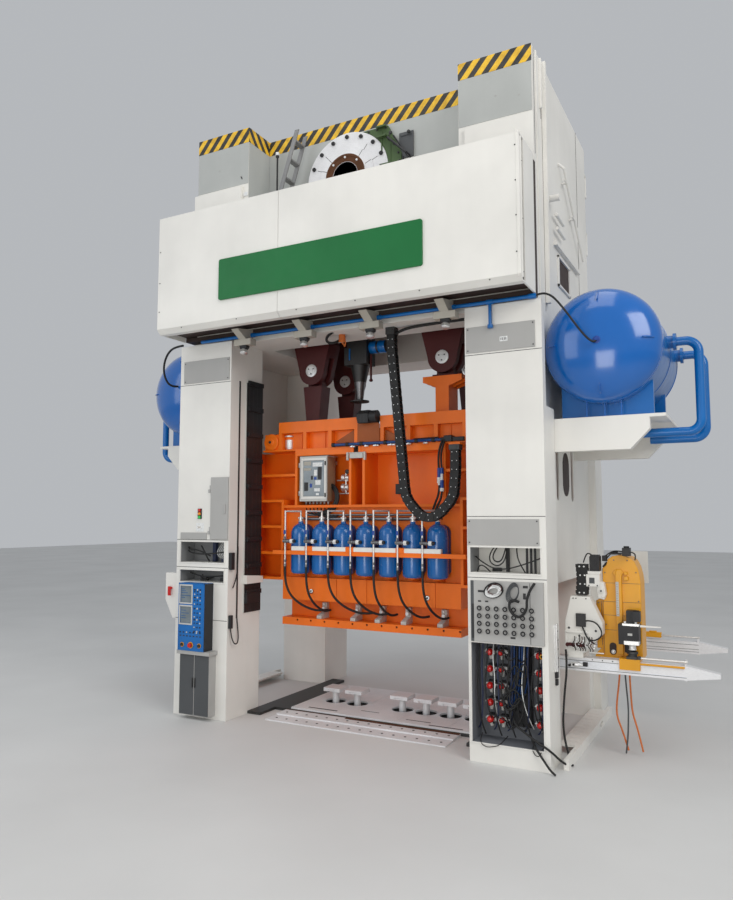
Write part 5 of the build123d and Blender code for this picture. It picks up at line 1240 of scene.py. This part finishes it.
hose("gauge_wires_red", [loop(2226, -1852, 2066, 84, 62, 0.3, 0.9)], 5, "maroon_paint")
hose(
    "gauge_wires_white",
    [loop(2204, -1850, 2040, 98 - 11 * i, 70 - 9 * i, 0.3, 0.7 * i) for i in range(4)],
    6,
    "white_plastic",
)
hose(
    "gauge_coil",
    [loop(2440 + 6 * i, -1848 - 3 * i, 2034, 74 - 6 * i, 118 - 10 * i, 0.2, 0.6 * i) for i in range(5)],
    5,
    "dark_grey_paint",
)
hose(
    "gauge_loop",
    [
        [
            (2700, -1822, 2150), (2660, -1880, 2080), (2620, -1890, 1960), (2625, -1890, 1850),
            (2540, -1895, 1745), (2430, -1890, 1800), (2400, -1880, 1900), (2440, -1860, 1960),
            (2520, -1850, 1930),
        ]
    ],
    16,
    "rubber",
)

# Valve window: red knobs on regulators, tubes, loops and a yellow ring
knobs, bowls, bodies = Shape(), Shape(), Shape()
for x, size in ((2070, 30), (2216, 21), (2685, 30)):
    for z in regulator_rows:
        knobs.lathe((x, -1600, z), (0, -1, 0), [
            (0, size), (10, size + 12), (38, size + 12), (48, size + 7), (64, size * 0.9), (72, 4),
        ], 24)
        bodies.box((x - 62, -1590, z - 30), (x + 62, -1540, z + 30))
        bodies.rod((x - 80, -1565, z), (x + 80, -1565, z), 13, 10)
        bowls.lathe((x, -1565, z - 30), (0, 0, -1), [(0, 26), (40, 26), (60, 20), (66, 4)], 16)
make("regulator_knobs", knobs, "red_plastic", bevel=0)
make("regulator_bodies", bodies, "bright_steel", bevel=3)
make("regulator_bowls", bowls, "light_grey_paint", bevel=0)
tubes = []
for step in range(7):
    x = 2345 + 33 * step
    tubes.append(
        [
            (x, -1600, 1405), (x, -1620 - 4 * step, 1260), (x + 6, -1630, 1000),
            (x - 20, -1640, 760 + 22 * step), (x - 60, -1610, 640 + 20 * step),
        ]
    )
hose("window_tubes", tubes, 11, "deep_blue")
darks, blues = [], []
for step in range(9):
    x = 1950 + 92 * step + (step * 37) % 29
    low = 300 + (step * 131) % 260
    darks.append(
        [
            (x, -1640, 1405), (x + 14, -1690, 1180), (x - 22, -1700, 900), (x + 18, -1690, low + 160),
            (x + 60, -1620, low),
        ]
    )
    blues.append(
        [
            (x + 40, -1620, 1405), (x + 30, -1680, 1120), (x + 56, -1690, 840), (x + 20, -1660, low + 90),
            (x - 40, -1600, low + 60),
        ]
    )
for x, z, wide, high in (
    (2390, 1010, 60, 150), (2440, 900, 80, 210), (2360, 760, 90, 120), (2430, 620, 70, 170),
    (2500, 1060, 50, 130),
):
    darks.append(loop(x, -1715, z, wide, high, 0.25, x * 0.01))
hose("window_dark_tubes", darks, 9, "rubber")
hose("window_blue_tubes", blues[::2], 9, "navy_plastic")
loops = []
for z in regulator_rows:
    loops.append(
        [(2100, -1590, z + 10), (2150, -1680, z + 60), (2260, -1700, z + 30), (2330, -1640, z - 30)]
    )
    loops.append([(2590, -1570, z), (2540, -1680, z - 40), (2480, -1700, z - 90), (2440, -1640, z - 60)])
    loops.append([(2250, -1590, z), (2290, -1660, z - 60), (2360, -1690, z - 80), (2420, -1620, z - 20)])
hose("window_loops", loops, 8, "rubber")
hose("window_white_wires", [
    [(2500, -1600, 1400), (2520, -1700, 1200), (2480, -1710, 900), (2540, -1700, 600), (2600, -1600, 420)],
    [(2120, -1600, 1400), (2130, -1700, 1250), (2160, -1700, 1000), (2140, -1690, 700), (2180, -1600, 420)],
], 5, "white_plastic")
ring = Shape().lathe((2740, -1700, 1290), (0, -1, 0), [(0, 18), (0, 28), (10, 28), (10, 18), (0, 18)], 20)
make("window_ring", ring, "yellow_paint", bevel=0)
hose("window_leads", [
    [
        (2330, -1600, 600), (2400, -1760, 500), (2530, -1800, 430), (2700, -1810, 330), (2850, -1800, 250),
        (2930, -1700, 130), (2990, -1500, 20), (3000, -1400, 12),
    ],
    [
        (2560, -1640, 380), (2640, -1790, 300), (2710, -1820, 220), (2790, -1835, 120), (2860, -1850, 40),
        (2910, -1860, 13),
    ],
], 13, "rubber")
hose("plinth_wires", [
    [
        (1960, -1600, 300), (1980, -1786, 250), (2060, -1800, 190), (2180, -1800, 215), (2250, -1786, 245),
        (2280, -1600, 300),
    ],
    [
        (2610, -1600, 300), (2620, -1786, 250), (2660, -1800, 180), (2710, -1795, 170), (2740, -1786, 240),
        (2745, -1600, 300),
    ],
], 5, "rubber")

# Linear rail and cable on the outer side of the right casing
boxes("outer_rail", "bright_steel", [
    (2840, -1552, 1096, 2862, -1420, 1650), (2862, -1520, 1096, 2878, -1452, 1650),
], bevel=1.5)
boxes("outer_rail_stop", "black_paint", [
    (2840, -1520, 1020, 2872, -1450, 1092), (2840, -1510, 935, 2870, -1455, 1005),
], bevel=3)
dots = Shape()
for step in range(5):
    dots.rod((2878, -1486, 1150 + 105 * step), (2880, -1486, 1150 + 105 * step), 9, 12)
make("outer_rail_holes", dots, "black_plastic", bevel=0)
hose("outer_cable", [
    (2926, -1300, 1331), (2937, -1300, 1120), (2902, -1300, 845), (2880, -1300, 600), (2872, -1300, 420),
    (2900, -1310, 200), (2960, -1320, 20),
], 13, "rubber")

# Transfer unit: column plates with rib, scale, slot and joint lines
column = Shape().prism([
    (3296, 1200), (3296, 2290), (3345, 2330), (3369, 2405), (3416, 2440), (3493, 2458), (3569, 2452),
    (3629, 2430), (3680, 2385), (3718, 2304), (3740, 2205), (3748, 2128), (3748, 1200),
], "y", column_y, -500)
column.prism([(3205, 1300), (3205, 1885), (3240, 1905), (3320, 1905), (3320, 1300)], "y", -815, -540)
column.prism([(3185, 1200), (3185, 1225), (3260, 1310), (3320, 1310), (3320, 1200)], "y", -815, -540)
column.prism([(3458, 1250), (3458, 2250), (3480, 2285), (3530, 2285), (3530, 1250)], "y", -884, column_y)
column.prism([
    (3420, 2240), (3458, 2285), (3530, 2285), (3555, 2240), (3530, 2200), (3458, 2200),
], "y", -874, column_y)
column.box((3190, -862, 1200), (3748, column_y, 1222))
plates = make("column_plates", column, "yellow_paint", bevel=9)
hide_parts("transfer_column")
lines = Shape()
for z in (2110, 1880, 1715, 1535):
    lines.box((3298, -851.4, z), (3456, column_y, z + 5)).box((3533, -851.4, z), (3746, column_y, z + 5))
lines.box((3268, -817, 1340), (3274, -815, 1880)).box((3298, -851.4, 1240), (3302, column_y, 2280))
make("column_lines", lines, "cabinet_brown", bevel=0)
boxes("column_scale", "light_grey_paint", [(3460, -889, 1714, 3496, -884, 2132)], bevel=1)
marks = Shape()
for step in range(14):
    marks.box((3466, -890, 1734 + 28 * step), (3466 + (16 if step % 3 else 24), -889, 1738 + 28 * step))
make("column_scale_marks", marks, "cabinet_brown", bevel=0)
# Dark brown sheet on the plate for the rounded slot: painted shade inside the opening.
slot = rounded_slot(3402, 1311, 42, 40, 34)
make("column_slot_shade", Shape().prism(slot, "y", -853, column_y), "dark_brown_paint", bevel=0)
pin = Shape().lathe((3407, -853, 1275), (0, -1, 0), [(0, 26), (14, 26), (16, 18), (40, 16), (44, 8)], 18)
make("column_roller", pin, "bright_steel", bevel=0)
bolts = Shape()
for x, z in (
    (3330, 2240), (3440, 2395), (3600, 2395), (3700, 2250), (3720, 1900), (3720, 1640), (3330, 1960),
    (3330, 1600), (3235, 1860), (3235, 1420),
):
    bolts.rod((x, column_y if x > 3296 else -815, z), (x, -856 if x > 3296 else -821, z), 9, 12)
make("column_bolts", bolts, "cabinet_brown", bevel=0)
knots = Shape().box((3555, -885, 2150), (3610, column_y, 2200))
knots.box((3560, -880, 2215), (3600, column_y, 2255))
knots.lathe((3600, column_y, 1720), (0, -1, 0), [(0, 40), (24, 40), (34, 26), (36, 10)], 18)
knots.prism([
    (3206, 1640), (3150, 1690), (3230, 1720), (3280, 1650), (3270, 1480), (3215, 1480),
], "y", column_y, -815)
make("column_knots", knots, "yellow_paint", bevel=6)

# Transfer unit: motors, bracket, chain and studs beside the column
motor = Shape().box((3172, -990, 2262), (3292, -870, 2446)).box((3180, -982, 2446), (3284, -878, 2462))
for step in range(5):
    motor.box((3170 + 24 * step, -994, 2270), (3182 + 24 * step, -990, 2440))
motor.box((3554, -930, 2452), (3646, -820, 2552)).rod((3600, -875, 2552), (3600, -875, 2572), 34, 16)
motor.box((3300, -860, 2380), (3352, -780, 2450)).rod((3310, -820, 2300), (3360, -820, 2360), 22, 12)
motor.box((3390, -800, 2462), (3520, -700, 2484)).rod((3455, -760, 2484), (3455, -760, 2500), 24, 12)
make("column_motors", motor, "black_paint", bevel=5)
bracket = Shape().box((3126, -1000, 2070), (3290, -850, 2222)).box((3140, -985, 2222), (3300, -865, 2262))
bracket.prism([
    (3250, 2150), (3330, 2120), (3352, 1980), (3330, 1912), (3262, 1930), (3240, 2040),
], "y", -960, -850)
bracket.rod((3300, -960, 2020), (3300, -985, 2020), 26, 16)
bracket.rod((3318, -960, 1950), (3318, -978, 1950), 15, 12)
make("column_bracket", bracket, "white_paint", bevel=6)
spots = Shape().box((3165, -1003, 2110), (3230, -1000, 2180))
spots.rod((3300, -985, 2020), (3300, -990, 2020), 12, 12)
spots.rod((3160, -1000, 2085), (3160, -1006, 2085), 9, 10)
spots.rod((3262, -1000, 2085), (3262, -1006, 2085), 9, 10)
make("bracket_spots", spots, "dark_grey_paint", bevel=1)
links, studs = Shape(), Shape()
for step in range(7):
    z = 1990 + 54 * step
    x = 3066 + 14 * math.sin(math.radians(26 * step))
    links.box((x - 68, -990, z - 29), (x + 68, -880, z + 29))
    links.box((x - 74, -996, z - 12), (x - 60, -990, z + 30))
    if step % 2 == 0:
        for side in (-26, 30):
            studs.rod((x + side, -990, z), (x + side, -996, z), 10, 12)
make("short_chain", links, "rubber", bevel=6)
make("short_chain_studs", studs, "white_plastic", bevel=1)
hose("motor_leads", [
    [(3190, -930, 2455), (3150, -940, 2490), (3110, -940, 2440), (3085, -935, 2360)],
    [(3330, -820, 2440), (3400, -780, 2500), (3480, -780, 2510), (3560, -860, 2500)],
    [(3640, -870, 2500), (3690, -850, 2490), (3700, -840, 2440), (3690, -840, 2400)],
    [(3352, -840, 2410), (3385, -800, 2470), (3430, -760, 2495)],
], 8, "rubber")

# Transfer console: black box with its cable loop, plate edge, valve row and screws
boxes("console_box", "black_plastic", [
    (3006, -1082, 1583, 3125, -1060, 1743), (3016, -1086, 1593, 3115, -1082, 1733),
], bevel=3)
hose("console_loop", [
    [
        (3125, -1072, 1656), (3180, -1100, 1668), (3262, -1100, 1640), (3314, -1100, 1560),
        (3318, -1100, 1490), (3252, -1100, 1434), (3180, -1090, 1425), (3161, -1066, 1430),
    ],
    [
        (3080, -1072, 1583), (3110, -1090, 1530), (3130, -1090, 1470), (3190, -1085, 1400),
        (3220, -1066, 1390),
    ],
], 9, "rubber")
boxes("console_ledge", "white_paint", [
    (2866, -1078, 1503, 3150, -1056, 1532), (2866, -1070, 1300, 2884, -1056, 1503),
    (3150, -1066, 1270, 3330, -1056, 1283),
], bevel=3)
row = Shape()
for step in range(7):
    x = 2892 + 36 * step
    row.lathe((x, -1062, 1352 + 9 * (step % 2)), (0, -1, 0), [
        (0, 20), (16, 22), (20, 15), (30, 17), (34, 8),
    ], 14)
row.box((2875, -1070, 1338), (3112, -1056, 1378))
make("console_valves", row, "maroon_paint", bevel=2)
mess = Shape()
for step in range(9):
    x = 3000 + 27 * step
    z = 1420 - 13 * ((step * 5) % 7)
    mess.rod((x, -1058, z), (x + 12, -1092, z + 8), 10 + (step * 3) % 5, 10)
    mess.box((x - 9, -1080, z - 34), (x + 13, -1058, z - 14))
make("console_fittings", mess, "bright_steel", bevel=1.5)
thin = []
for step in range(8):
    x = 2980 + 30 * step
    thin.append(
        [
            (x, -1064, 1460), (x + 20, -1105, 1430 - 6 * step), (x - 24, -1110, 1370),
            (x + 26, -1090, 1310), (x + 8, -1062, 1290),
        ]
    )
hose("console_wires", thin[::2], 5, "rubber")
hose("console_white_wires", thin[1::4], 5, "white_plastic")
hose("console_red_wires", thin[3::4], 5, "maroon_paint")
dots = Shape()
for x, z in ((2975, 1925), (3010, 1925), (3130, 1925), (3040, 1470), (2915, 1560), (3240, 1540)):
    dots.rod((x, -1060, z), (x, -1064, z), 8 if z > 1600 else 14, 12)
make("console_screws", dots, "dark_steel", bevel=0)

# Lift head and rails: servo edges, flange, coupling, arm, grooves, rods and the clevis
top = Shape().box((3548, -1046, 1622), (3742, -960, 1652))
top.rod((3575, -1000, 1652), (3575, -1000, 1672), 16, 12)
top.rod((3700, -1000, 1652), (3700, -1000, 1672), 16, 12).box((3562, -1044, 1398), (3735, -940, 1446))
top.lathe((3650, -985, 1398), (0, 0, -1), [(0, 52), (8, 52), (12, 44), (52, 44), (54, 50), (62, 50)], 24)
make("servo_edges", top, "bright_steel", "lift_head", bevel=3)
boxes("servo_badge", "light_grey_paint", [(3608, -1043, 1508, 3662, -1040, 1536)], "lift_head", bevel=1)
dark = Shape().box((3656, -1030, 1672), (3752, -930, 1796)).box((3656, -1034, 1660), (3668, -1030, 1790))
dark.rod((3704, -980, 1796), (3704, -980, 1806), 36, 14)
make("servo_top_motor", dark, "black_paint", "lift_head", bevel=4)
dark = Shape().lathe((3650, -985, 1318), (0, 0, -1), [(0, 62), (26, 66), (30, 52), (58, 52), (62, 40)], 20)
dark.box((3585, -1040, 1230), (3705, -960, 1262)).rod((3730, -1030, 1250), (3730, -1000, 1250), 22, 14)
make("servo_coupling", dark, "dark_steel", "lift_head", bevel=2)
grooves = Shape()
grooves.box((2740, -1011.2, 1062), (4246, rail_y, 1067)).box((2740, -1011.2, 1158), (3490, rail_y, 1163))
for z in (1062, 1096, 1158):
    grooves.box((2740, 888.8, z), (4246, 890, z + 5))
for x in (3420, 3300, 3180):
    grooves.rod((x, rail_y, 1182), (x, -1011.5, 1182), 8, 12)
make("rail_grooves", grooves, "dark_grey_paint", bevel=0)
boxes("rail_skins", "alu", [
    (2742, -1012, 1068, 3490, rail_y, 1157), (3490, -1012, 1068, 4246, rail_y, 1078),
], bevel=0.6)
rods = Shape().rod((3751, -1020, 1250), (4243, -1020, 1250), 15, 16)
rods.rod((3765, 890, 1262), (4261, 890, 1262), 14, 16)
rods.lathe((4238, -1020, 1250), (1, 0, 0), [(0, 22), (14, 22), (16, 14), (26, 14)], 14)
make("rail_rods", rods, "chrome_pipe", bevel=0)
boxes("rear_clamp", "yellow_paint", [
    (3526, 870, 1228, 3763, 950, 1299), (3600, 880, 1299, 3700, 940, 1316),
], bevel=6)
fork = Shape().lathe((2960, -1030, 1112), (1, 0, 0), [(0, 22), (14, 34), (60, 34), (80, 22), (110, 20)], 18)
fork.box((2925, -1050, 1088), (2990, -1012, 1136))
make("rail_clevis", fork, "bright_steel", bevel=3)
fork = Shape().rod((2889, -1030, 1092), (2930, -1030, 1104), 15, 12)
fork.box((3070, -1046, 1098), (3124, -1014, 1146))
fork.rod((2958, -1052, 1112), (2958, -1058, 1112), 15, 14)
make("clevis_ends", fork, "black_paint", bevel=2)
arm = Shape().prism([(3752, 1640), (3752, 1616), (3990, 1622), (3990, 1634)], "y", -1040, rail_y)
make("servo_arm", arm, "white_paint", "lift_head", bevel=2)
hose("hanging_cables", [
    [
        (3450, -700, 1036), (3440, -700, 900), (3396, -700, 600), (3400, -700, 450), (3457, -690, 300),
        (3520, -660, 60),
    ],
    [
        (3564, -700, 1036), (3566, -700, 900), (3576, -700, 630), (3590, -700, 500), (3640, -690, 330),
        (3690, -650, 60),
    ],
], 11, "cable_orange")
hose("hanging_cable_grey", [
    (3511, -700, 1036), (3514, -700, 900), (3538, -700, 610), (3533, -700, 425), (3520, -690, 200),
    (3490, -660, 20),
], 10, "dark_grey_paint")

# Air tanks: domes, fins and weld seams; grey crown sheets; fascia corner
domes, fins, welds = Shape(), Shape(), Shape()
for side, start in ((-1, -850), (1, -1300)):
    for place, way in ((start, -1), (start + tank_length, 1)):
        profile = [(0, tank_radius)]
        for step in range(1, 19):
            angle = math.radians(5 * step)
            profile.append((356 * math.sin(angle), max(2.0, tank_radius * math.cos(angle))))
        domes.lathe((side * tank_x, place, tank_z), (0, way, 0), profile, 96)
    for y in (start + 12, start + 800, start + 1616):
        welds.lathe((side * tank_x, y, tank_z), (0, 1, 0), [
            (0, 690), (0, 701), (3, 706), (10, 706), (13, 701), (13, 690),
        ], 96)
    for turn in (0, 90, 180, 270):
        angle = math.radians(turn)
        out = Vector((math.cos(angle), 0, math.sin(angle)))
        across = Vector((-out.z, 0, out.x)) * 7
        place = Vector((side * tank_x, 0, tank_z))
        spots = [
            place + out * reach + Vector((0, start - y, 0))
            for reach, y in ((500, 246), (514, 276), (590, 226), (622, 180), (622, 150), (560, 200))
        ]
        faces = [(0, 1, 2, 3, 4, 5), (11, 10, 9, 8, 7, 6)]
        faces += [(i, 6 + i, 6 + (i + 1) % 6, (i + 1) % 6) for i in range(6)]
        fins.put([q - across for q in spots] + [q + across for q in spots], faces)
make("tank_domes", domes, "tank_blue", bevel=0, smooth=50)
make("tank_fins", fins, "tank_blue", bevel=2)
make("tank_welds", welds, "tank_blue", bevel=0)
boxes("tower_fronts", "tower_grey", [
    (tower_low + 4, -1591, 8103, outer_x - 4, -1588, 8766),
    (-outer_x + 4, -1591, 8103, -tower_low - 4, -1588, 8766),
    (-tower_low, -1586, 7600, -tower_low + 2.5, -1044, 8766),
], bevel=0)
corner = Shape().prism([(2735, -2394), (2742, -2394), (2781, -2308), (2774, -2303)], "z", 5694, 7462)
make("fascia_corner", corner, "white_paint", bevel=1)
boxes("crown_front_grey", "tower_grey", [(-tower_low, -1041, 7560, tower_low, -1038.5, 8766)], bevel=0)
ribs = Shape()
for x in (3240, 3455, 3650):
    ribs.box((x - 8, -1236, 4000), (x + 8, -1216, 4420))
make("saddle_ribs", ribs, "tank_blue", bevel=2)

# Side cover: dark slots low on the right wall
# The slots are dark brown sheets laid on the wall: painted shade inside the openings.
cover = Shape().box((outer_x, -1199, 3192), (outer_x + 5, -932, 3739))
cover.prism(rounded_slot(-238, 3513, 180, 180, 120), "x", outer_x, outer_x + 5)
make("side_slot_shade", cover, "dark_brown_paint", bevel=0)

# Pins of the connecting rods: stepped faces with bolts
faces, dots = Shape(), Shape()
for x, y in ((-pin_x, -720), (pin_x, -720), (-pin_x, 360), (pin_x, 360)):
    faces.lathe((x, y, pin_z), (0, -1, 0), [
        (0, 96), (5, 96), (8, 72), (3, 66), (3, 30), (9, 26), (9, 8),
    ], 40)
    for turn in (30, 150, 270):
        angle = math.radians(turn)
        spot = (x + 50 * math.cos(angle), y - 3, pin_z + 50 * math.sin(angle))
        dots.bolt(spot, (0, -1, 0), 11, washer=False)
make("pin_faces", faces, "bright_steel", "slide", bevel=0)
make("pin_bolts", dots, "dark_steel", "slide", bevel=0.5)

# Hanging unit: cone, motor bands, rod, coil and the hoses under the crown
cone = Shape().lathe((unit_x, unit_y, 5374), (0, 0, -1), [
    (0, 143), (34, 143), (40, 128), (60, 124), (66, 132), (90, 130), (96, 118), (585, 57), (600, 50),
], 36)
make("unit_cone", cone, "pipe_steel", bevel=0)
bands = Shape().lathe((-263, unit_y, unit_z), (1, 0, 0), [(4, 97), (8, 100), (118, 100), (122, 97)], 36)
bands.lathe((-263, unit_y, unit_z), (1, 0, 0), [(156, 97), (160, 100), (274, 100), (278, 97)], 36)
bands.rod((-560, -460, 5400), (-560, -460, 5585), 12, 12)
make("unit_bands", bands, "blue_paint", bevel=0)
turns = []
for step in range(73):
    angle = math.radians(30 * step)
    turns.append((-200 + 44 * math.cos(angle), -1330 + 30 * math.sin(angle), 5585 - 1.6 * step))
hose("orange_coil", turns, 9, "cable_orange", smooth=False)
hose("orange_strands", [
    [
        (-200, -1330, 5580), (-240, -1300, 5480), (-180, -1250, 5420), (-260, -1180, 5470),
        (-330, -1100, 5590),
    ],
    [(-170, -1320, 5580), (-150, -1290, 5450), (-230, -1230, 5400), (-300, -1120, 5590)],
], 8, "cable_orange")
hose("crown_hoses", [
    [
        (640, -1330, 5480), (760, -1345, 5525), (900, -1350, 5548), (1100, -1350, 5556),
        (1300, -1350, 5560), (1840, -1350, 5564),
    ],
    [
        (-250, -1500, 5588), (-390, -1440, 5560), (-430, -1390, 5490), (-337, -1400, 5445),
        (-250, -1300, 5500), (-230, -1200, 5588),
    ],
    [(-520, -420, 5420), (-640, -420, 5400), (-660, -380, 5560), (-600, -360, 5590)],
], 20, "rubber")
hose("crown_blue_hose", [
    (640, -1300, 5500), (800, -1300, 5555), (1100, -1305, 5572), (1840, -1305, 5574),
], 18, "deep_blue")
rods = Shape().rod((-245, -330, 5067), (-245, -330, 5486), 17, 14)
rods.lathe((-245, -330, 5050), (0, 0, 1), [(0, 8), (6, 24), (24, 32), (42, 24), (48, 8)], 18)
make("unit_rods", rods, "maroon_paint", bevel=0)

# Bed: worn strip at the plates' front edge and bolt heads on the ledges
boxes("bed_worn_strip", "rust", [
    (-352, -962, 34, 1396, -884, 36.5), (-1396, -905, 34, -352, -884, 36.5),
], bevel=0)
heads = Shape()
for step in range(16):
    heads.rod((-1290 + 172 * step, -1040, 34), (-1290 + 172 * step, -1040, 37), 17, 12)
    heads.rod((-1290 + 172 * step, -1310, 17), (-1290 + 172 * step, -1310, 20), 17, 12)
make("ledge_bolts", heads, "dark_steel", bevel=0)
stains = Shape()
for x, y, w, d in (
    (-1100, -760, 500, 40), (500, -700, 380, 26), (-300, -560, 300, 22), (900, -820, 500, 34)
):
    stains.box((x, y, 65), (x + w, y + d, 65.6))
make("bed_marks", stains, "dark_steel", bevel=0)

# Linings of the casing openings
boxes("window_lining", "slate", [
    (1892.5, -1772, 238, 1896, -1462, 1407), (1896, -1776, 235.5, 2762, -1462, 239),
], bevel=0)
boxes("niche_linings", "niche_grey", [
    (1892.5, -1772, 2258, 1896, -1462, 2557), (-2764.5, -1772, 2258, -2761, -1462, 2557),
    (-2764.5, -1772, 1968, -2761, -1462, 2137),
], bevel=0)
